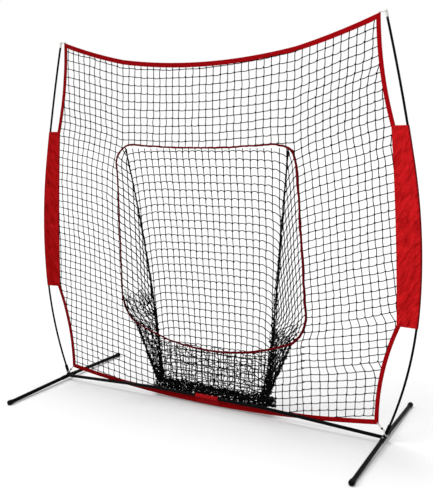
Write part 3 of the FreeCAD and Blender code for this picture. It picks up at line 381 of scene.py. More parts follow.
def newTree(name, sizes):
    # a tree with one geometry in and out and a named input for each size: gives the function that
    # adds a node to it, and its input node
    tree = bpy.data.node_groups.new(name, "GeometryNodeTree")
    tree.interface.new_socket("Geometry", in_out="INPUT", socket_type="NodeSocketGeometry")
    for size, kind in sizes.items():
        tree.interface.new_socket(size, in_out="INPUT", socket_type="NodeSocket" + kind)
    tree.interface.new_socket("Geometry", in_out="OUTPUT", socket_type="NodeSocketGeometry")
    add = partial(addNode, tree)
    return add, add("NodeGroupInput")


def endTree(add, given, geometry):
    real = add("GeometryNodeRealizeInstances", {"Geometry": geometry})
    smooth = add("GeometryNodeSetShadeSmooth", {"Geometry": real})
    painted = add("GeometryNodeSetMaterial", {"Geometry": smooth, "Material": (given, "Finish")})
    add("NodeGroupOutput", {"Geometry": painted})
    return given.id_data


def twineTree():
    # strings along a sketch's edges, each bowed by its own arch and sway, and a knot at each
    # lone point of the sketch
    add, given = newTree("knottedTwine", {
        "String Radius": "Float", "String Sides": "Int", "String Points": "Int",
        "Knot Length": "Float", "Knot Width": "Float", "Knot Lean": "Float", "Knot Detail": "Int",
        "Seed": "Int", "Finish": "Material"})
    curve = add("GeometryNodeMeshToCurve", {"Mesh": (given, "Geometry")})
    spaced = add("GeometryNodeResampleCurve", {"Curve": curve, "Count": (given, "String Points")})
    along = add("GeometryNodeSplineParameter")
    left = add("ShaderNodeMath", {0: 1.0, 1: (along, "Factor")}, operation="SUBTRACT")
    hump = add("ShaderNodeMath", {0: (along, "Factor"), 1: left}, operation="MULTIPLY")
    bow = add("ShaderNodeMath", {0: hump, 1: 4.0}, operation="MULTIPLY")
    arch = add("GeometryNodeInputNamedAttribute", {"Name": "bow"}, data_type="FLOAT_VECTOR")
    shift = add("ShaderNodeVectorMath", {0: (arch, "Attribute"), "Scale": bow}, operation="SCALE")
    bowed = add("GeometryNodeSetPosition", {"Geometry": spaced, "Offset": shift})
    ring = add("GeometryNodeCurvePrimitiveCircle",
               {"Resolution": (given, "String Sides"), "Radius": (given, "String Radius")})
    strings = add("GeometryNodeCurveToMesh", {"Curve": bowed, "Profile Curve": ring})

    neighbours = add("GeometryNodeInputMeshVertexNeighbors")
    lone = add("FunctionNodeCompare", {2: (neighbours, "Vertex Count"), 3: 0},
               data_type="INT", operation="EQUAL")
    ball = add("GeometryNodeMeshIcoSphere", {"Radius": 0.5, "Subdivisions": (given, "Knot Detail")})
    size = add("ShaderNodeCombineXYZ", {"X": (given, "Knot Length"), "Y": (given, "Knot Width"),
                                        "Z": (given, "Knot Width")})
    low, high = [add("ShaderNodeVectorMath", {0: size, 1: (share, share, share)},
                     operation="MULTIPLY") for share in (0.8, 1.2)]
    scale = add("FunctionNodeRandomValue", {0: low, 1: high, "Seed": (given, "Seed")},
                data_type="FLOAT_VECTOR")
    lean = add("ShaderNodeCombineXYZ", {"Y": (given, "Knot Lean")})
    jitter = add("FunctionNodeRandomValue", {0: (-0.3, -0.35, -0.3), 1: (0.3, 0.35, 0.3),
                                             "Seed": (given, "Seed")}, data_type="FLOAT_VECTOR")
    turned = add("ShaderNodeVectorMath", {0: lean, 1: jitter}, operation="ADD")
    knots = add("GeometryNodeInstanceOnPoints",
                {"Points": (given, "Geometry"), "Selection": lone, "Instance": ball,
                 "Rotation": turned, "Scale": scale})
    whole = add("GeometryNodeJoinGeometry", {"Geometry": [strings, knots]})
    return endTree(add, given, whole)


def stitchTree():
    # short raised stitches, end to end along a sketch's lines
    add, given = newTree("sewnStitches", {"Stitch Pitch": "Float", "Stitch Length": "Float",
                                          "Thread Width": "Float", "Finish": "Material"})
    curve = add("GeometryNodeMeshToCurve", {"Mesh": (given, "Geometry")})
    spaced = add("GeometryNodeResampleCurve", {"Curve": curve, "Length": (given, "Stitch Pitch")},
                 mode="LENGTH")
    tangent = add("GeometryNodeInputTangent")
    turned = add("FunctionNodeAlignRotationToVector", {"Vector": tangent}, axis="X")
    bead = add("GeometryNodeMeshIcoSphere", {"Radius": 0.5, "Subdivisions": 1})
    size = add("ShaderNodeCombineXYZ", {"X": (given, "Stitch Length"), "Y": (given, "Thread Width"),
                                        "Z": (given, "Thread Width")})
    stitches = add("GeometryNodeInstanceOnPoints",
                   {"Points": spaced, "Instance": bead, "Rotation": turned, "Scale": size})
    return endTree(add, given, stitches)


def ropeTree(strands):
    # strands laid round a line, a full turn in each lay length
    add, given = newTree("laidRope", {"Strand Radius": "Float", "Lay Radius": "Float",
                                      "Lay Length": "Float", "Step": "Float", "Finish": "Material"})
    curve = add("GeometryNodeMeshToCurve", {"Mesh": (given, "Geometry")})
    spaced = add("GeometryNodeResampleCurve", {"Curve": curve, "Length": (given, "Step")},
                 mode="LENGTH")
    along = add("GeometryNodeSplineParameter")
    turns = add("ShaderNodeMath", {0: (along, "Length"), 1: (given, "Lay Length")}, operation="DIVIDE")
    angle = add("ShaderNodeMath", {0: turns, 1: 2 * math.pi}, operation="MULTIPLY")
    normal = add("GeometryNodeInputNormal")
    tangent = add("GeometryNodeInputTangent")
    beside = add("ShaderNodeVectorMath", {0: tangent, 1: normal}, operation="CROSS_PRODUCT")
    ring = add("GeometryNodeCurvePrimitiveCircle", {"Resolution": 6,
                                                    "Radius": (given, "Strand Radius")})
    laid = []
    for strand in range(strands):
        phase = add("ShaderNodeMath", {0: angle, 1: strand * 2 * math.pi / strands}, operation="ADD")
        parts = []
        for axis, wave in ((normal, "COSINE"), (beside, "SINE")):
            reach = add("ShaderNodeMath", {0: phase}, operation=wave)
            parts.append(add("ShaderNodeVectorMath", {0: axis, "Scale": reach}, operation="SCALE"))
        summed = add("ShaderNodeVectorMath", {0: parts[0], 1: parts[1]}, operation="ADD")
        offset = add("ShaderNodeVectorMath", {0: summed, "Scale": (given, "Lay Radius")},
                     operation="SCALE")
        moved = add("GeometryNodeSetPosition", {"Geometry": spaced, "Offset": offset})
        laid.append(add("GeometryNodeCurveToMesh", {"Curve": moved, "Profile Curve": ring,
                                                    "Fill Caps": True}))
    whole = add("GeometryNodeJoinGeometry", {"Geometry": laid})
    return endTree(add, given, whole)


print("stage: node trees")
trees = {"twine": twineTree(), "stitches": stitchTree(), "rope": ropeTree(3)}


def grow(name, sketch, tree, values):
    # runs a tree on a sketch mesh, and keeps the result as a plain mesh under the given name
    source = newObject(name + "Sketch", sketch)
    modifier = source.modifiers.new("grow", "NODES")
    modifier.node_group = trees[tree]
    for item in trees[tree].interface.items_tree:
        if item.in_out == "INPUT" and item.name in values:
            modifier[item.identifier] = values[item.name]
    made = source.evaluated_get(bpy.context.evaluated_depsgraph_get())
    piece = newObject(name, bpy.data.meshes.new_from_object(made))
    bpy.data.objects.remove(source)
    return piece


def settle(piece, slot, *nodes):
    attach(piece, "root")
    if nodes:
        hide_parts(*nodes)


# Outlines, as lists of (across, height)

def arcThrough(start, middle, end, steps=40):
    (ax, az), (bx, bz), (cx, cz) = start, middle, end
    d = 2 * (ax * (bz - cz) + bx * (cz - az) + cx * (az - bz))
    a, b, c = ax * ax + az * az, bx * bx + bz * bz, cx * cx + cz * cz
    centreX = (a * (bz - cz) + b * (cz - az) + c * (az - bz)) / d
    centreZ = (a * (cx - bx) + b * (ax - cx) + c * (bx - ax)) / d
    radius = math.hypot(ax - centreX, az - centreZ)
    angles = [math.atan2(z - centreZ, x - centreX) for x, z in (start, middle, end)]
    first = (angles[1] - angles[0] + math.pi) % (2 * math.pi) - math.pi
    second = (angles[2] - angles[1] + math.pi) % (2 * math.pi) - math.pi
    turns = [angles[0] + (first + second) * step / steps for step in range(steps + 1)]
    return [(centreX + radius * math.cos(t), centreZ + radius * math.sin(t)) for t in turns]


def valueAt(line, place, known):
    # the other coordinate of a line of points where one coordinate has a value
    ordered = sorted(line, key=lambda point: point[known])
    return float(np.interp(place, [p[known] for p in ordered], [p[1 - known] for p in ordered]))


def evenly(line, count):
    # points at equal steps along a line
    steps = [0.0]
    for before, after in zip(line, line[1:]):
        steps.append(steps[-1] + math.dist(before, after))
    wanted = np.linspace(0, steps[-1], count)
    return list(zip(*[np.interp(wanted, steps, values) for values in zip(*line)]))


def mirror(point, side):
    return (side * point[0], point[1])


netEdge = {
    "topCorner": (0.977, 2.139), "crease": (0.540, 2.011), "topSag": 1.968, "outerSag": 0.008,
    "upperSide": (1.000, 1.880), "topHem": (1.062, 1.606), "sleeveSide": (1.098, 1.100),
    "lowHem": (1.116, 0.616), "lowerSide": (1.040, 0.360), "lowCorner": (1.018, 0.085),
    "bottomSag": 0.010,
}
strikeZone = {
    "topHalf": (0.585, 1.375), "topCorner": (0.556, 1.482), "topEnd": (0.440, 1.521),
    "topMiddle": 1.502,
    "lowHalf": (0.602, 0.640), "lowCorner": (0.585, 0.530), "lipEnd": (0.511, 0.447),
    "lipMiddle": 0.339,
    "rightCorner": ((0.470, 1.5165), (0.505, 1.5085), (0.540, 1.497), (0.556, 1.484), (0.566, 1.452),
                    (0.574, 1.417), (0.579, 1.345)),
    "skew": 0.04, "skewFrom": 0.800,
}


def topLine():
    crease, corner = netEdge["crease"], netEdge["topCorner"]
    middle = arcThrough(mirror(crease, -1), (0, netEdge["topSag"]), crease)
    halfway = ((crease[0] + corner[0]) / 2, (crease[1] + corner[1]) / 2 - netEdge["outerSag"])
    outer = arcThrough(crease, halfway, corner, 16)[1:]
    return [mirror(point, -1) for point in outer[::-1]] + middle + outer


def bottomLine():
    return arcThrough(mirror(netEdge["lowCorner"], -1), (0, netEdge["bottomSag"]), netEdge["lowCorner"])


def sideLine():
    # the right side, from the top down: above the sleeve, along it and below it
    names = ("topCorner", "upperSide", "topHem", "sleeveSide", "lowHem", "lowerSide", "lowCorner")
    points = [netEdge[name] for name in names]
    line = points[:1]
    for start in (0, 2, 4):
        line += arcThrough(*points[start:start + 3])[1:]
    return line


def zonePoint(point, side=1):
    x, z = point
    return (side * x + strikeZone["skew"] * (strikeZone["skewFrom"] - z), z)


def zoneSide(side):
    # one side of the strike zone, from its top corner down to its lip: the right corner is sharp
    sharp = [zonePoint(point) for point in (strikeZone["topEnd"],) + strikeZone["rightCorner"]]
    soft = [zonePoint(strikeZone[name], side) for name in ("topEnd", "topCorner", "topHalf")]
    low = [zonePoint(strikeZone[name], side) for name in ("lowHalf", "lowCorner", "lipEnd")]
    return (sharp if side > 0 else arcThrough(*soft, 12)) + arcThrough(*low, 14)


def zoneAcross(end, middle):
    # the top or the lip of the strike zone, from the left
    return arcThrough(zonePoint(strikeZone[end], -1), zonePoint((0, strikeZone[middle])),
                      zonePoint(strikeZone[end]))


lines = {"top": topLine(), "bottom": bottomLine(), "side": sideLine(), "left": zoneSide(-1),
         "right": zoneSide(1), "zoneTop": zoneAcross("topEnd", "topMiddle")}
# once round the strike zone: along the top, down the right, back along the lip, up the left
lines["zone"] = (lines["zoneTop"] + lines["right"][1:] + zoneAcross("lipEnd", "lipMiddle")[::-1][1:]
                 + lines["left"][::-1][1:-1])
zoneArray = np.array(lines["zone"])


def insideZone(x, z):
    after = np.roll(zoneArray, -1, axis=0)
    crosses = (zoneArray[:, 1] > z) != (after[:, 1] > z)
    run = after[:, 1] - zoneArray[:, 1]
    run[run == 0] = 1e-9
    at = zoneArray[:, 0] + (z - zoneArray[:, 1]) * (after[:, 0] - zoneArray[:, 0]) / run
    return bool(np.count_nonzero(crosses & (at > x)) % 2)


# Netting

netting = {
    "bar": 0.0435,                     # a string from knot to knot
    "rowPitches": ((0.8, 0.0400), (1.0, 0.0440), (1.5, 0.0445), (1.65, 0.0470)),   # height, pitch
    "topRow": 2.3, "lowerPitch": 0.0385, "foot": 0.045,
    "middleColumns": 25, "footColumns": 28, "upperRows": (31, 48), "lowerRows": (-1, 12),
    "underBand": 0.003,                # how far the strings run in under the webbing
    "stringRadius": 0.0024, "lowerRadius": 0.0025, "knotLength": 0.0115, "knotWidth": 0.0072,
    "fineness": 5, "knotDetail": 2,
    # seeds of the strings and the knots, and how far the knots lean over
    "upperKnots": (21, 4, 0.5), "lowerKnots": (22, 5, 0.5),
    "rowSlip": {"left": 0.08, "right": 0.16},   # rise of the foot's rows beyond slipFrom
    "slipFrom": 0.35,
    "wander": (0.0035, 0.004, 0.0035), "wanderSize": 0.09, "wanderStep": 7.3,
    # how far a string's middle strays along each axis, and how far it stands above its chord
    "bows": {"row": ((0.0012, 0.002, 0.0022), -0.0022), "column": ((0.0026, 0.002, 0.0022), 0)},
}


def shake(dice, size):
    return dice.uniform(-size, size)


def stray(dice, sizes, lift=0):
    # a random offset of at most so much along each axis, with nothing drawn where that is 0
    x, y, z = [shake(dice, size) if size else 0 for size in sizes]
    return Vector((x, y, z + lift))


def sketchMesh(name, vertices, edges, bows):
    mesh = newMesh(name, vertices, edges, [])
    attribute = mesh.attributes.new("bow", "FLOAT_VECTOR", "POINT")
    attribute.data.foreach_set("vector", [value for lift in bows for value in lift])
    return mesh


def netSketch(name, columns, rows, place, bow, seed, shared=()):
    # strings between the knots of a grid, and a lone point for each knot; place gives a knot's
    # position, or None outside the net; the neighbouring net draws the shared columns
    dice = random.Random(seed)
    vertices, edges, bows = [], [], []

    def cutBack(kept, lost):
        # column and row where a string leaves the region
        for _ in range(9):
            middle = (mix(kept[0], lost[0], 0.5), mix(kept[1], lost[1], 0.5))
            if place(*middle):
                kept = middle
            else:
                lost = middle
        return kept

    known = {(column, row): place(column, row) for column in range(columns[0], columns[1] + 1)
             for row in range(rows[0], rows[1] + 1)}
    for (column, row), point in known.items():
        for way, other in (("row", (column + 1, row)), ("column", (column, row + 1))):
            if (other not in known or not (point or known[other])
                    or (way == "column" and column in shared)):
                continue
            start, end = (column, row), other
            if not point:
                start = cutBack(other, start)
            elif not known[other]:
                end = cutBack(start, other)
            edges.append((len(vertices), len(vertices) + 1))
            vertices.extend([place(*start), place(*end)])
            bows.extend([stray(dice, *bow[way])] * 2)
    for (column, row), point in known.items():
        if point and column not in shared:
            vertices.append(point)
            bows.append(Vector())
    return sketchMesh(name, vertices, edges, bows)


def growNet(name, sketch, knots, *nodes, radius, fineness=netting["fineness"],
            detail=netting["knotDetail"]):
    seed, lean = knots
    values = {"String Radius": radius, "String Sides": fineness, "String Points": fineness,
              "Knot Length": netting["knotLength"], "Knot Width": netting["knotWidth"],
              "Knot Detail": detail, "Knot Lean": lean, "Seed": seed,
              "Finish": finishes["polyesterTwine"]}
    settle(grow(name, sketch, "twine", values), "twine", *nodes)


def makeNet(name, columns, rows, place, bow, knots, node, side=0, radius=netting["stringRadius"],
            shared=()):
    # a knotted net; side is -1 or 1 for one of two that lean opposite ways
    stringSeed, knotSeed, lean = knots
    sketch = netSketch(name, columns, rows, place, bow, stringSeed + side, shared)
    growNet(name, sketch, (knotSeed, lean * (side or 1)), node, radius=radius)


# where each wing meets the middle of the net, from the top down: to the strike zone's corner,
# down beside it and on to the foot
seams = {
    "left": [(-0.530, 2.100), (-0.540, 2.011), (-0.556, 1.700), (-0.560, 1.550), (-0.578, 1.460),
             (-0.600, 1.350), (-0.612, 1.200), (-0.613, 1.000), (-0.600, 0.640), (-0.595, -0.100)],
    "right": [(0.544, 2.100), (0.540, 2.011), (0.532, 1.620), (0.538, 1.480), (0.557, 1.345),
              (0.572, 1.178), (0.590, 0.900), (0.606, 0.640), (0.608, -0.100)],
}


def inNet(point):
    x, z = point.x, point.z
    hidden = netting["underBand"]
    if (z > valueAt(lines["top"], x, 0) - webbing["width"]["top"] + hidden
            or z < valueAt(lines["bottom"], x, 0) + bottomWidth(x) - hidden
            or abs(x) > valueAt(lines["side"], z, 1) - webbing["width"]["side"] + hidden
            or insideZone(x, z)):
        return None
    return point


def rowLadder():
    # heights of the rows where a wing meets the middle, above the foot's first row; two more
    # rows lie below it
    first = netting["rowPitches"][0][1]
    heights = [-2 * first, -first, 0.0]
    while heights[-1] < netting["topRow"]:
        heights.append(heights[-1] + ramp(heights[-1], netting["rowPitches"]))
    return heights


ladder = rowLadder()


def footRow(x):
    # the lowest row of the net's foot
    slip = netting["rowSlip"]["left" if x < 0 else "right"] * max(0.0, abs(x) - netting["slipFrom"])
    return valueAt(lines["bottom"], x, 0) + netting["foot"] + slip


def rowHeight(row, sideName):
    return footRow(seams[sideName][-1][0]) + between(row + 2, ladder)


def ripple(x, z, seed, size=netting["wanderSize"]):
    # a small wander of the net, the same for neighbouring knots
    field = noise.noise_vector(Vector((x / size, z / size, seed * netting["wanderStep"])))
    return Vector([value * reach for value, reach in zip(field, netting["wander"])])


# Creases of each wing: knots below the line from one point to the other have slid sideways.
# The slide grows from nothing at the first point to its full size at the second, and dies out
# over a number of rows.
creases = {
    "left": (((-0.80, 1.50), (-1.05, 1.56), 0.008, 14), ((-0.70, 0.50), (-1.08, 0.62), 0.010, 12)),
    "right": (((0.76, 1.81), (0.96, 1.86), -0.016, 9), ((0.92, 1.49), (1.04, 1.56), -0.022, 16),
              ((0.76, 0.57), (1.06, 0.67), 0.030, 30), ((0.82, 0.585), (0.60, 0.48), -0.022, 12),
              ((0.60, 0.31), (0.98, 0.385), 0.036, 30)),
}


def slid(sideName, x, z):
    total = 0
    for (startX, startZ), (endX, endZ), slide, rows in creases[sideName]:
        along = clamp((x - startX) / (endX - startX))
        under = (mix(startZ, endZ, along) - z) / netting["bar"] + 0.5
        total += slide * along * clamp(under) * max(0.0, 1 - max(0.0, under - 1) / rows)
    return total


wing = {
    "columns": ((0.3, 0.0425), (0.8, 0.0392), (1.45, 0.0392), (2.1, 0.0412)),   # height, pitch
    "count": 14, "knots": (11, 3, 0.7),
    "near": 0.12, "far": 0.33,         # widths of the wing's inner and outer part
    # how steeply a row that starts at each height rises: at the seam, between the two parts and
    # at the side
    "slopes": {
        "left": ((0.10, 0.16, 0.17, 0.17), (0.30, 0.17, 0.17, 0.16), (0.80, 0.40, 0.25, 0.15),
                 (1.20, 0.55, 0.27, 0.13), (1.45, 0.50, 0.28, 0.16), (1.60, 0.35, 0.27, 0.22),
                 (1.80, 0.30, 0.27, 0.25), (2.00, 0.30, 0.30, 0.30)),
        "right": ((0.10, 0.24, 0.25, 0.27), (0.25, 0.25, 0.25, 0.30), (0.45, 0.13, 0.22, 0.34),
                  (0.80, 0.30, 0.31, 0.28), (1.00, 0.38, 0.32, 0.29), (1.30, 0.48, 0.31, 0.27),
                  (1.50, 0.48, 0.34, 0.29), (1.70, 0.44, 0.33, 0.30), (1.85, 0.31, 0.31, 0.30)),
    },
}


def rowRise(sideName, height, across):
    heights, *slopes = zip(*wing["slopes"][sideName])
    seam, middle, edge = [float(np.interp(height, heights, column)) for column in slopes]
    first = min(across, wing["near"])
    rest = across - first
    return (first * (seam + (middle - seam) * first / wing["near"] / 2)
            + rest * (middle + (edge - middle) * rest / wing["far"] / 2))


def makeWing(sideName):
    side = sides[sideName]

    def place(column, row):
        height = rowHeight(row, sideName)
        across = column * ramp(height, wing["columns"])
        z = height + rowRise(sideName, height, across)
        x = valueAt(seams[sideName], height, 1) + side * across
        x += slid(sideName, x, z)
        return inNet(Vector((x, 0, z)) + ripple(x, z, 5))

    makeNet(sideName + "_wing_netting", (0, wing["count"]), (-2, len(ladder) - 4), place,
            netting["bows"], wing["knots"], sideName + "_wing_net", side)


def makeMiddle():
    left, right = seams["left"], seams["right"]
    columns, footColumns = netting["middleColumns"], netting["footColumns"]
    rim, top = strikeZone["topEnd"][1], netEdge["crease"][1]

    def upper(column, row):
        share = column / columns
        x = mix(-netEdge["crease"][0], netEdge["crease"][0], share)
        height = mix(rowHeight(row, "left"), rowHeight(row, "right"), share)
        z = mix(valueAt(lines["zoneTop"], x, 0), valueAt(lines["top"], x, 0),
                (height - rim) / (top - rim))
        x = mix(valueAt(left, z, 1), valueAt(right, z, 1), share)
        return inNet(Vector((x, 0, z)) + ripple(x, z, 5))

    def lower(column, row):
        x = mix(left[-1][0], right[-1][0], column / footColumns)
        pitch = mix(netting["lowerPitch"], netting["rowPitches"][0][1], (x / right[-1][0]) ** 2)
        z = footRow(x) + row * pitch
        return inNet(Vector((x, 0, z)) + ripple(x, z, 5))

    makeNet("upper_netting", (0, columns), netting["upperRows"], upper, netting["bows"],
            netting["upperKnots"], "upper_net", shared=(0, columns))
    makeNet("lower_netting", (0, footColumns), netting["lowerRows"], lower, netting["bows"],
            netting["lowerKnots"], "lower_net", radius=netting["lowerRadius"], shared=(0, footColumns))


# Webbing and cloth: a ring of points swept along a line

def loft(name, rings, finish, closed=True):
    # a skin over rings of points, with a UV map in metres: along the line, then round the ring
    count = len(rings[0])
    turns = count if closed else count - 1
    vertices = [point for ring in rings for point in ring]
    faces, maps = [], []
    runs, girth = [0.0], [0.0]
    for before, after in zip(rings, rings[1:]):
        runs.append(runs[-1] + (after[0] - before[0]).length)
    for index in range(turns):
        girth.append(girth[-1] + (rings[0][(index + 1) % count] - rings[0][index]).length)
    for step in range(len(rings) - 1):
        base, above = step * count, (step + 1) * count
        for index in range(turns):
            other = (index + 1) % count
            faces.append((base + index, base + other, above + other, above + index))
            maps.append([(runs[step], girth[index]), (runs[step], girth[index + 1]),
                         (runs[step + 1], girth[index + 1]), (runs[step + 1], girth[index])])
    if closed:
        faces.append(tuple(range(count))[::-1])
        maps.append([(0, girth[index]) for index in range(count)][::-1])
        last = (len(rings) - 1) * count
        faces.append(tuple(range(last, last + count)))
        maps.append([(runs[-1], girth[index]) for index in range(count)])
    mesh = newMesh(name, vertices, [], faces)
    layer = mesh.uv_layers.new(name="UVMap")
    layer.data.foreach_set("uv", [value for corner in maps for pair in corner for value in pair])
    mesh.materials.append(finishes[finish])
    work = bmesh.new()
    work.from_mesh(mesh)
    bmesh.ops.recalc_face_normals(work, faces=work.faces)
    work.to_mesh(mesh)
    work.free()
    mesh.shade_smooth()
    return newObject(name, mesh)


def lineSketch(name, polylines):
    vertices, edges = [], []
    for polyline in polylines:
        first = len(vertices)
        vertices.extend(polyline)
        edges.extend((first + index, first + index + 1) for index in range(len(polyline) - 1))
    return newMesh(name, vertices, edges, [])


webbing = {
    "width": {"top": 0.026, "bottom": 0.026, "side": 0.0225},
    "middleWidth": 0.038, "middleHalf": 0.62,   # the bottom band widens towards its middle
    "tuck": 0.006,                     # under the sleeves' ends
    "stitchRows": (0.27, 0.82),        # shares of the width, from the folded edge
    "stitchPitch": 0.0062, "stitchLength": 0.0048, "threadWidth": 0.0011, "stitchStand": 0.0021,
    "stations": 0.012,
    "swayLength": 0.07, "sway": 0.0008, "puckerLength": 0.02, "pucker": 0.0004,
    # from the fold to the hem: share of the width, half thickness in millimetres
    "section": ((0.02, 1.5), (0.07, 2.3), (0.17, 2.4), (0.27, 1.8), (0.37, 2.35), (0.53, 2.4),
                (0.7, 2.3), (0.82, 1.7), (0.92, 2.0), (0.987, 1.6)),
}


def bottomWidth(x):
    wider = webbing["middleWidth"] - webbing["width"]["bottom"]
    return webbing["width"]["bottom"] + wider * clamp(2 - 2 * abs(x) / webbing["middleHalf"])


def makeBand(name, outer, inner, node, seed):
    # outer and inner are the two edges of the strip, walked the same way
    length = sum(math.dist(a, b) for a, b in zip(outer, outer[1:]))
    count = max(6, int(length / webbing["stations"]))
    rings, stitches = [], [[], [], [], []]
    for step, (far, near) in enumerate(zip(evenly(outer, count), evenly(inner, count))):
        run = step * webbing["stations"]
        edge = Vector((far[0], 0, far[1]))
        across = Vector((near[0], 0, near[1])) - edge
        sway = noise.noise(Vector((run / webbing["swayLength"], seed, 0.5))) * webbing["sway"]
        pucker = noise.noise(Vector((run / webbing["puckerLength"], seed, 9.5))) * webbing["pucker"]
        front, rear = [], []
        for share, half in webbing["section"]:
            point = edge + across * share + back * sway
            front.append(point - back * (half * 0.001 + pucker))
            rear.append(point + back * (half * 0.001 + pucker))
        rings.append([edge + back * sway] + front + [edge + across + back * sway] + rear[::-1])
        for row, share in enumerate(webbing["stitchRows"]):
            point = edge + across * share + back * sway
            stitches[row].append(point - back * webbing["stitchStand"])
            stitches[row + 2].append(point + back * webbing["stitchStand"])
    settle(loft(name, rings, "polyesterWebbing"), "band_webbing", node)
    return stitches


def sewOn(name, polylines, slot):
    piece = grow(name, lineSketch(name, polylines), "stitches",
                 {"Stitch Pitch": webbing["stitchPitch"], "Stitch Length": webbing["stitchLength"],
                  "Thread Width": webbing["threadWidth"], "Finish": finishes["sewingThread"]})
    settle(piece, slot)


def offsetCorner(corner, one, other, oneWidth, otherWidth):
    # where two edges that leave a corner, each moved inwards by its width, cross
    a = (Vector(one) - Vector(corner)).normalized()
    b = (Vector(other) - Vector(corner)).normalized()
    return tuple(Vector(corner) + (a * otherWidth + b * oneWidth) / math.sin(a.angle(b)))


def inwards(line, width, facing):
    # a line moved sideways by a width, towards the side that facing points to
    moved = []
    for index, point in enumerate(line):
        before, after = line[max(0, index - 1)], line[min(len(line) - 1, index + 1)]
        along = Vector((after[0] - before[0], after[1] - before[1])).normalized()
        normal = Vector((-along.y, along.x))
        if normal.dot(Vector(facing)) < 0:
            normal = -normal
        moved.append((point[0] + normal.x * width, point[1] + normal.y * width))
    return moved


def makeBands():
    widths = webbing["width"]
    side = lines["side"]
    fine = evenly(side, 400)
    topCorner = offsetCorner(netEdge["topCorner"], netEdge["crease"], side[3], widths["top"],
                             widths["side"])
    lowCorner = offsetCorner(netEdge["lowCorner"], lines["bottom"][-4], side[-4], widths["bottom"],
                             widths["side"])
    stitches = []
    for part, corner, facing, seed in (("top", topCorner, (0, -1), 1),
                                       ("bottom", lowCorner, (0, 1), 2)):
        inner = [p for p in inwards(lines[part], widths[part], facing) if abs(p[0]) < corner[0]]
        if part == "bottom":
            inner = [(x, z + bottomWidth(x) - widths["bottom"]) for x, z in inner]
        inner = [mirror(corner, -1)] + inner + [corner]
        stitches += makeBand(part + "_webbing", lines[part], inner, part + "_band", seed)

    for sideName, sign in sides.items():
        upper = [p for p in fine if p[1] > netEdge["topHem"][1] - webbing["tuck"]]
        lower = [p for p in fine if p[1] < netEdge["lowHem"][1] + webbing["tuck"]]
        upperInner = [p for p in inwards(upper, widths["side"], (-1, 0)) if p[1] < topCorner[1]]
        lowerInner = [p for p in inwards(lower, widths["side"], (-1, 0)) if p[1] > lowCorner[1]]
        for part, outer, inner in (("upper", upper, [topCorner] + upperInner),
                                   ("lower", lower, lowerInner + [lowCorner])):
            stitches += makeBand("%s_%s_webbing" % (sideName, part), [mirror(p, sign) for p in outer],
                                 [mirror(p, sign) for p in inner], "%s_%s_band" % (sideName, part),
                                 3 + sign)
    sewOn("band_stitching", stitches, "band_webbing")


# The bent rods, as the sleeves follow them

rodShape = {
    "hub": (1.052, 0.024), "lean": 20.0, "socket": 0.070,
    "sections": ((0.650, 17.6), (0.700, 12.5), (0.720, 3.7)),   # length, turn in degrees
    "steps": 60,
}


def rodLine():
    lean = math.radians(rodShape["lean"])
    x = rodShape["hub"][0] + math.sin(lean) * rodShape["socket"]
    z = rodShape["hub"][1] + math.cos(lean) * rodShape["socket"]
    points = [(x, z)]
    steps = rodShape["steps"]
    for length, turn in rodShape["sections"]:
        bend = math.radians(turn) / steps
        for _ in range(steps):
            lean -= bend / 2
            x += math.sin(lean) * length / steps
            z += math.cos(lean) * length / steps
            lean -= bend / 2
            points.append((x, z))
    return points


sleeve = {
    "cloth": 0.0007,
    "inset": 0.020,                    # from the net's edge to the cloth's sewn edge
    "seamGap": 0.0026,                 # from the net's plane to each layer there
    "channel": 0.0080,                 # cloth round the rod, from the rod's axis
    "behindAxis": 0.2,                 # where both layers end, as a share of that radius
    "opening": 3,                      # power by which the layers part on their way to the rod
    "rowsAcross": 24, "stations": 250,
    "lean": 58,                        # slope of the pulls and wrinkles from level, in degrees
    # the pulls, then finer wrinkles: width, length, height and seed
    "waves": ((0.050, 0.16, 0.0065, 2.0), (0.016, 0.055, 0.0026, 5.0), (0.008, 0.030, 0.0013, 8.0)),
    "fullness": 0.6, "rearPull": 0.8,  # how soon the pulls rise from the seam, and their size behind
    "hem": 0.004, "innerSeam": 0.8,    # rows of stitches: from the seam, and at a share of the rows
    "stitchStand": 0.0009,
    # how strong the painted shade is round the outside of the rod
    "rodShadeAmount": (0.35, 0.7, 0.75, 0.75, 0.75, 0.7, 0.35),
}


def clothPull(x, z, side):
    # how far the cloth stands forward: pulls and wrinkles that all slant one way
    lean = math.radians(sleeve["lean"])
    along = x * math.cos(lean) + z * math.sin(lean)
    over = x * math.sin(lean) - z * math.cos(lean)
    return sum(noise.noise(Vector((over / width, along / length, seed * side))) * height
               for width, length, height, seed in sleeve["waves"])


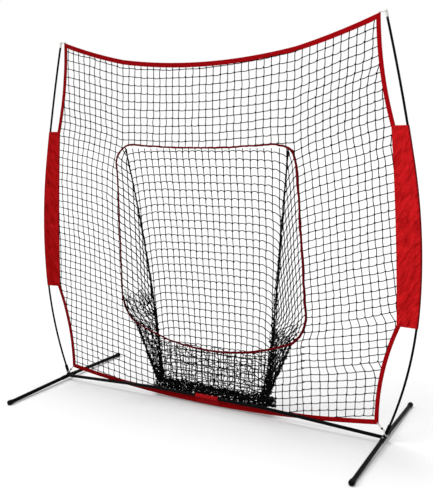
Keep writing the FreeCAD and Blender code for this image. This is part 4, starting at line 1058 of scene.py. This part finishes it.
def makeSleeve(sideName):
    # one cloth, folded round the rod and sewn to the net's edge through both layers
    side = sides[sideName]
    rod = rodLine()
    stations, across, radius = sleeve["stations"], sleeve["rowsAcross"], sleeve["channel"]
    low, high = netEdge["lowHem"][1], netEdge["topHem"][1]
    innerSeam = int(across * sleeve["innerSeam"])
    turns = [math.radians(angle) for angle in range(-75, 76, 25)]
    rings, stitches = [], [[], [], [], []]
    for step in range(stations + 1):
        z = mix(low, high, step / stations)
        seam = valueAt(lines["side"], z, 1) - sleeve["inset"]
        axis = valueAt(rod, z, 1)
        front, rear = [], []
        for index in range(across + 1):
            share = index / across
            x = mix(seam, axis - radius * sleeve["behindAxis"], share)
            pull = clothPull(x, z, side) * math.sin(math.pi * share) ** sleeve["fullness"]
            gap = mix(sleeve["seamGap"], radius, share ** sleeve["opening"])
            front.append(Vector((x, -gap + pull, z)))
            rear.append(Vector((x, gap + pull * sleeve["rearPull"], z)))
        outside = [Vector((axis + radius * math.cos(t), radius * math.sin(t), z)) for t in turns]
        ring = front + outside + rear[::-1]
        rings.append([Vector((point.x * side, point.y, point.z)) for point in ring])
        for row, (layer, index, inset) in enumerate((
                (front, 0, sleeve["hem"]), (rear, 0, sleeve["hem"]),
                (front, innerSeam, 0), (rear, innerSeam, 0))):
            stand = sleeve["stitchStand"] * (1 if layer is rear else -1)
            point = layer[index]
            stitches[row].append(Vector(((point.x + inset) * side, point.y + stand, point.z)))
    piece = loft(sideName + "_sleeve_cloth", rings, "oxfordCloth", closed=False)
    # painted shade along the outside of the rod, read by the cloth's material
    attribute = piece.data.attributes.new("rodShadeMask", "FLOAT", "POINT")
    unshaded = [0.0] * (across + 1)
    attribute.data.foreach_set("value", (unshaded + list(sleeve["rodShadeAmount"]) + unshaded) * len(rings))
    wall = piece.modifiers.new("cloth", "SOLIDIFY")
    wall.thickness = sleeve["cloth"]
    wall.offset = 0.0
    settle(piece, "sleeve_cloth", sideName + "_sleeve")
    return stitches


# The strike zone's binding

binding = {
    "width": 0.0165, "thickness": 0.0092, "stations": 0.006, "corners": 10,
    "narrow": 0.9, "uneven": 0.2,      # shares of the width: its mean, and how far it wanders
    # how far the tape has turned edge on, in degrees, at shares of the way round: the top from
    # the left, down the right, back along the lip and up the left
    "twist": ((0.0, 62), (0.22, 62), (0.27, 8), (0.37, 8), (0.41, 48), (0.45, 48), (0.49, 12),
              (0.57, 10), (0.63, 40), (0.70, 60), (0.77, 58), (0.82, 42), (0.96, 34), (1.0, 50)),
    # slow and quick unevenness: spread and seed, how far it shifts the tape sideways, and how far
    # it turns it in radians
    "fields": ((9, 3), (34, 8)), "shift": (0.003, 0.002), "turn": (0.25, 0.35),
}


def makeBinding():
    loop = lines["zone"] + [lines["zone"][0]]
    length = sum(math.dist(a, b) for a, b in zip(loop, loop[1:]))
    count = int(length / binding["stations"])
    points = evenly(loop, count + 1)[:-1]
    turns = [corner / binding["corners"] * 2 * math.pi for corner in range(binding["corners"])]
    rings = []
    for index, (x, z) in enumerate(points):
        before, after = points[index - 1], points[(index + 1) % count]
        along = Vector((after[0] - before[0], 0, after[1] - before[1])).normalized()
        outwards = along.cross(back)
        run = index / count * 2 * math.pi
        slow, quick = [
            noise.noise_vector(Vector((math.cos(run) * spread, math.sin(run) * spread, seed)))
            for spread, seed in binding["fields"]]
        shift = slow.x * binding["shift"][0] + quick.x * binding["shift"][1]
        twist = (math.radians(ramp(index / count, binding["twist"]))
                 + slow.y * binding["turn"][0] + quick.y * binding["turn"][1])
        wide = binding["width"] / 2 * (binding["narrow"] + binding["uneven"] * slow.z)
        middle = Vector((x, 0, z)) + outwards * shift
        flat = outwards * math.cos(twist) + back * math.sin(twist)
        deep = back * math.cos(twist) - outwards * math.sin(twist)
        rings.append([middle + flat * (wide * math.cos(turn))
                      + deep * (binding["thickness"] / 2 * math.sin(turn)) for turn in turns])
    rings.append(rings[0])
    piece = loft("zone_binding", rings, "bindingTape")
    work = bmesh.new()
    work.from_mesh(piece.data)
    bmesh.ops.delete(work, geom=[f for f in work.faces if len(f.verts) > 4], context="FACES")
    bmesh.ops.remove_doubles(work, verts=work.verts, dist=0.00001)
    work.to_mesh(piece.data)
    work.free()
    settle(piece, "binding_webbing", "strike_zone_binding")


# The ball pocket

pocket = {
    "topZ": 1.500, "gatherTop": 0.104, "topGap": 0.0035, "depth": 0.095,
    "hem": 0.020,                      # from the top to the back net's first row
    # each rope's place across at its top and foot, and how far it bows inwards between them
    "topX": {"left": -0.544, "right": 0.503}, "lowX": {"left": -0.378, "right": 0.345},
    "waist": {"left": 0.028, "right": 0},
    "columns": 26, "rows": 33, "topPitch": 0.0428, "lowPitch": 0.0370, "rowPitch": 0.0440,
    "drape": {"left": (0.042, 0.065), "right": (0.065, 0.045)},   # rows dip by and within, at each rope
    "backRadius": 0.0026, "sideRadius": {"left": 0.0029, "right": 0.0023},
    "backKnots": (31, 6, 0.8), "sideKnots": (41, 7, 0.9),
    "backBows": {"row": ((0, 0.002, 0.002), 0.0065), "column": ((0.0012, 0.001, 0), 0)},
    "sideBows": {"row": ((0.0015, 0.002, 0.0015), -0.005), "column": ((0.0015, 0.002, 0.0015), 0)},
    # the side nets' columns, from the strike zone back to the rope: distances between them
    "sideColumns": {
        "left": (0.034, 0.034, 0.032, 0.024, 0.020, 0.019, 0.018, 0.018, 0.018, 0.018),
        "right": (0.026, 0.024, 0.022, 0.021, 0.020, 0.019, 0.019, 0.018, 0.018, 0.018),
    },
    "slack": 0.80,                     # how much of its slanting strings' drop a column hangs lower
    "calm": 0.6,                       # of their wander
    "selvageFoot": {"left": 0.012, "right": 0.028},   # from each rope's foot
    "rimY": 0.002, "footY": 0.018,     # of the side nets' front edge
    "crumpleFrom": {"left": 0.60, "right": 0.50},      # below this height the side nets bunch up
}


def heightShare(z):
    # 0 at the top of the gathered net, 1 at the top of the pocket
    return (z - pocket["gatherTop"]) / (pocket["topZ"] - pocket["gatherTop"])


def ropeX(sideName, z):
    share = heightShare(z)
    across = mix(pocket["lowX"][sideName], pocket["topX"][sideName], share)
    return across + pocket["waist"][sideName] * 4 * share * (1 - share)


def pocketY(z):
    return mix(pocket["depth"], pocket["topGap"], heightShare(z))


def ropePoint(sideName, z):
    return Vector((ropeX(sideName, z), pocketY(z), z))


def makePocketBack():
    columns = pocket["columns"]

    def place(column, row):
        level = pocket["topZ"] - pocket["hem"] - row * pocket["rowPitch"]
        share = 1 - heightShare(level)
        left, right = ropeX("left", level), ropeX("right", level)
        pitch = mix(pocket["topPitch"], pocket["lowPitch"], share)
        x = (left + right) / 2 + (column - columns / 2) * pitch
        dip = sum(size * math.exp(-max(0, away) / within) for (size, within), away in
                  ((pocket["drape"]["left"], x - left), (pocket["drape"]["right"], right - x)))
        z = level - dip * min(1, 0.5 + share * 2)
        point = Vector((x, pocketY(z), z)) + ripple(x, z, 9)
        if not pocket["gatherTop"] - pocket["hem"] < point.z < pocket["topZ"]:
            return None
        return point if ropeX("left", point.z) < point.x < ropeX("right", point.z) else None

    makeNet("pocket_back_netting", (-1, columns + 1), (-1, pocket["rows"]), place, pocket["backBows"],
            pocket["backKnots"], "pocket_back_net", radius=pocket["backRadius"])


def lipCorner(sideName):
    return zonePoint(strikeZone["lipEnd"], sides[sideName])


def frontEdge(sideName, z):
    # front edge of a side net: the strike zone's side, then a line down to the gathered net
    corner = lipCorner(sideName)
    if z >= corner[1]:
        return Vector((valueAt(lines[sideName], z, 1), pocket["rimY"], z))
    share = (corner[1] - z) / (corner[1] - pocket["gatherTop"])
    foot = ropeX(sideName, pocket["gatherTop"]) + pocket["selvageFoot"][sideName]
    return Vector((mix(corner[0], foot, share), mix(pocket["rimY"], pocket["footY"], share), z))


def makePocketSide(sideName):
    # a square net hung from the zone's side: each column towards the rope hangs a step lower,
    # as far as its slanting strings let it
    side, bar = sides[sideName], netting["bar"]
    places, falls = [0.0], [0.0]
    for wide in pocket["sideColumns"][sideName]:
        places.append(places[-1] + wide)
        falls.append(falls[-1] + pocket["slack"] * math.sqrt(bar ** 2 - wide ** 2))
    rows = int((pocket["topZ"] - pocket["gatherTop"]) / bar) + 2

    def place(column, row):
        z = pocket["topZ"] - row * bar - between(column, falls)
        if not pocket["gatherTop"] < z < pocket["topZ"]:
            return None
        front, rear = frontEdge(sideName, z), ropePoint(sideName, z)
        share = between(column, places) / (rear - front).length
        wander = ripple(front.x + share, z, 4) * pocket["calm"]
        return front.lerp(rear, share) + wander if share <= 1 else None

    makeNet("pocket_%s_netting" % sideName, (0, len(places) - 1), (-9, rows), place, pocket["sideBows"],
            pocket["sideKnots"], "pocket_%s_net" % sideName, side, pocket["sideRadius"][sideName])


# crumpled nets: the seed and the lean of their knots, and how finely strings and knots are drawn
loose = {"knots": (8, 0.4), "fineness": 4, "knotDetail": 1}


def crumpledNet(name, grid, place, radius, *nodes, side=0):
    # layers of net whose knots lie where place puts them, with slack strings between; grid gives
    # the columns, rows and layers, the seed and the slack
    (columns, rows, layers), seed, slack = grid
    dice = random.Random(seed + side)
    vertices, edges, bows = [], [], []
    for layer in range(layers):
        places = {(column, row): place(column / columns, row / rows, layer, dice)
                  for column in range(columns + 1) for row in range(rows + 1)}
        for (column, row), point in places.items():
            vertices.append(point)
            bows.append(Vector())
            for other in ((column + 1, row), (column, row + 1)):
                if other in places:
                    edges.append((len(vertices), len(vertices) + 1))
                    vertices.extend([point, places[other]])
                    bows.extend([stray(dice, (slack, slack, slack))] * 2)
    growNet(name, sketchMesh(name, vertices, edges, bows), loose["knots"], *nodes, radius=radius,
            fineness=loose["fineness"], detail=loose["knotDetail"])


bunch = {
    # how wide the side nets' slack lies round each rope, at shares of its height
    "left": ((0, 0.013), (0.25, 0.011), (0.5, 0.008), (0.8, 0.003), (1, 0.001)),
    "right": ((0, 0.024), (0.3, 0.018), (0.45, 0.012), (0.8, 0.004), (1, 0.001)),
    "inner": {"left": 0.0, "right": 0.050},   # how far in from the rope it hangs at the foot
    # columns, rows and layers, seed and slack of each crumpled net
    "rope": ((4, 70, 1), 61, 0.004), "selvage": ((3, 22, 1), 69, 0.003),
    "foot": {"left": ((7, 20, 2), 65, 0.005), "right": ((6, 20, 2), 65, 0.005)},
    "radius": 0.0018,
    "ropeTop": 0.03, "below": 0.01,    # from the pocket's top, and below the top of the gather
    "ropeCrowding": 1.4, "footCrowding": 1.7,   # powers by which the rows crowd at the foot
    # random shares and distances, in metres, and in radians round a rope
    "turnShake": 0.6, "ropeReach": (0.2, 1.0), "ropeShake": 0.012, "ropeSquash": 0.6,
    "footShake": 0.05, "acrossShake": 0.08, "hang": (0, 0.006, 0.014),
    "selvageReach": (0.002, 0.010), "selvageShake": 0.01, "selvageSquash": 0.5,
}


def roundAbout(turn, reach, squash, lift=0):
    return Vector((math.cos(turn) * reach, math.sin(turn) * reach * squash, lift))


def makeBunches(sideName):
    # the side nets' slack, bunched along the ropes and down to the gathered net
    side, foot = sides[sideName], pocket["gatherTop"] - bunch["below"]

    def alongRope(u, v, layer, dice):
        share = v ** bunch["ropeCrowding"]
        z = mix(pocket["gatherTop"], pocket["topZ"] - bunch["ropeTop"], share)
        z += shake(dice, bunch["ropeShake"])
        reach = ramp(share, bunch[sideName]) * dice.uniform(*bunch["ropeReach"])
        turn = u * 2 * math.pi + shake(dice, bunch["turnShake"])
        return ropePoint(sideName, z) + roundAbout(turn, reach, bunch["ropeSquash"])

    def belowLip(u, v, layer, dice):
        z = mix(foot, pocket["crumpleFrom"][sideName], v ** bunch["footCrowding"])
        z += shake(dice, bunch["footShake"]) * v * v
        front, rear = frontEdge(sideName, z), ropePoint(sideName, z)
        rear.x -= side * bunch["inner"][sideName] * max(0, 1 - v * 1.2)
        across = clamp(u + shake(dice, bunch["acrossShake"]))
        return front.lerp(rear, across) + stray(dice, bunch["hang"])

    def alongSelvage(u, v, layer, dice):
        z = mix(foot, lipCorner(sideName)[1], v)
        turn = u * 2 * math.pi + shake(dice, bunch["turnShake"])
        reach = dice.uniform(*bunch["selvageReach"])
        lift = shake(dice, bunch["selvageShake"])
        return frontEdge(sideName, z) + roundAbout(turn, reach, bunch["selvageSquash"], lift)

    for part, grid, place in (("rope", bunch["rope"], alongRope),
                              ("foot", bunch["foot"][sideName], belowLip),
                              ("selvage", bunch["selvage"], alongSelvage)):
        crumpledNet("pocket_%s_%s_bunch" % (sideName, part), grid, place, bunch["radius"], side=side)


folds = {
    "grid": ((25, 9, 1), 73, 0.006), "from": 0.33,     # below this height
    "below": 0.01, "forward": 0.012,
    "shake": {"up": 0.013, "across": 0.009, "back": 0.008},
}


def makeFolds():
    # the foot of the back net, in loose folds above the gathered net
    def place(u, v, layer, dice):
        z = mix(pocket["gatherTop"] - folds["below"], folds["from"], v)
        z += shake(dice, folds["shake"]["up"])
        x = mix(ropeX("left", z), ropeX("right", z), u) + shake(dice, folds["shake"]["across"])
        return Vector((x, pocketY(z) - folds["forward"] + shake(dice, folds["shake"]["back"]), z))

    crumpledNet("pocket_back_folds", folds["grid"], place, netting["lowerRadius"])


laidRope = {
    # of each line: thickness, points, how far it runs beyond its foot and its top, and the seed,
    # the size and the strength of its wander
    "laid_rope": (1.1, 90, 0.004, 0.006, 3, 0.05, 0.6), "selvage": (1.0, 40, 0.02, 0.01, 6, 0.04, 1.0),
    "radius": 0.0032, "strand": 0.54, "lay": 0.5,      # a strand and its turns, as shares of that
    "layLength": 0.030, "step": 0.004,
}


def makeRopes(sideName):
    side, radius, foot = sides[sideName], laidRope["radius"], pocket["gatherTop"]
    for name, place, top, slot, nodes in (
            ("laid_rope", ropePoint, pocket["topZ"], "rope", ["pocket_%s_rope" % sideName]),
            ("selvage", frontEdge, lipCorner(sideName)[1], "twine", [])):
        thick, count, below, above, seed, size, strength = laidRope[name]
        heights = [mix(foot - below, top + above, step / (count - 1)) for step in range(count)]
        points = [place(sideName, z) + ripple(z, side, seed, size) * strength for z in heights]
        piece = grow("pocket_%s_%s" % (sideName, name), lineSketch(name, [points]), "rope",
                     {"Strand Radius": radius * laidRope["strand"] * thick,
                      "Lay Radius": radius * laidRope["lay"] * thick,
                      "Lay Length": laidRope["layLength"], "Step": laidRope["step"],
                      "Finish": finishes["polyesterTwine"]})
        settle(piece, slot, *nodes)


gather = {
    "grid": ((42, 8, 3), 51, 0.005), "radius": 0.0017,
    "layerTurn": 0.13, "turnShake": 0.08,              # shares of a turn
    "reach": (0.35, 1.08),             # of the gather's half height and depth
    "swell": 0.92, "lumps": 0.35, "lumpsAlong": 15, "shake": 0.010,
}


def makeGather():
    # the foot of the pocket: a net drawn together along its length, in crumpled layers
    low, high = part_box("pocket_gather")
    middle, half = (low + high) / 2, (high - low) / 2

    def place(u, v, layer, dice):
        turn = (v + layer * gather["layerTurn"] + shake(dice, gather["turnShake"])) * 2 * math.pi
        lump = noise.noise(Vector((u * gather["lumpsAlong"], 0, 3)))
        reach = dice.uniform(*gather["reach"]) * (gather["swell"] + gather["lumps"] * lump)
        x = mix(low.x, high.x, u) + shake(dice, gather["shake"])
        return Vector((min(max(x, low.x), high.x), middle.y + math.cos(turn) * reach * half.y,
                       middle.z + math.sin(turn) * reach * half.z))

    crumpledNet("pocket_gathered_netting", gather["grid"], place, gather["radius"], "pocket_gather")


# The strap round the crossbar

strap = {
    "left": -0.070, "right": 0.080, "barY": -0.0145, "barZ": 0.061, "barRadius": 0.0095,
    "thickness": 0.0019, "gap": 0.0006, "netFace": -0.0027, "stations": 16,
    "tail": 0.016, "tailDrop": 0.004, "tailSteps": 8,
    "wave": 0.0004, "wavesAcross": 30, "wavesAlong": 0.3,
}


def makeStrap():
    radius = strap["barRadius"] + strap["gap"] + strap["thickness"] / 2
    turns = [math.radians(angle) for angle in range(-90, 271, 12)]
    loop = [(strap["barY"] + radius * math.cos(t), strap["barZ"] + radius * math.sin(t)) for t in turns]
    tailY = strap["netFace"] - strap["thickness"] / 2
    tail = [(tailY, mix(strap["barZ"] - strap["tailDrop"], strap["tail"], step / strap["tailSteps"]))
            for step in range(strap["tailSteps"] + 1)]
    for name, points, nodes in (("strap_loop", loop, ["crossbar_strap"]), ("strap_tail", tail, [])):
        rings = []
        for index, (y, z) in enumerate(points):
            before, after = points[max(0, index - 1)], points[min(len(points) - 1, index + 1)]
            along = Vector((0, after[0] - before[0], after[1] - before[1])).normalized()
            normal = along.cross(Vector((1, 0, 0))) * strap["thickness"] / 2
            outer, inner = [], []
            for step in range(strap["stations"] + 1):
                x = mix(strap["left"], strap["right"], step / strap["stations"])
                field = Vector((x * strap["wavesAcross"], index * strap["wavesAlong"], 1.0))
                wave = noise.noise(field) * strap["wave"]
                point = Vector((x, y, z)) + normal.normalized() * wave
                outer.append(point + normal)
                inner.append(point - normal)
            rings.append(outer + inner[::-1])
        settle(loft(name, rings, "hookAndLoopTape"), "strap_webbing", *nodes)


print("stage: camera, floor and light")
makeCamera()
makeStudio()
print("stage: solids that show as they are")
finishFrame()
bendSprings()
print("stage: netting")
makeWing("left")
makeWing("right")
makeMiddle()
print("stage: webbing")
makeBands()
makeBinding()
print("stage: sleeves")
sewOn("sleeve_stitching", makeSleeve("left") + makeSleeve("right"), "sleeve_cloth")
print("stage: pocket")
makePocketBack()
makePocketSide("left")
makePocketSide("right")
for sideName in sides:
    makeRopes(sideName)
for sideName in sides:
    makeBunches(sideName)
makeFolds()
makeGather()
print("stage: strap")
makeStrap()
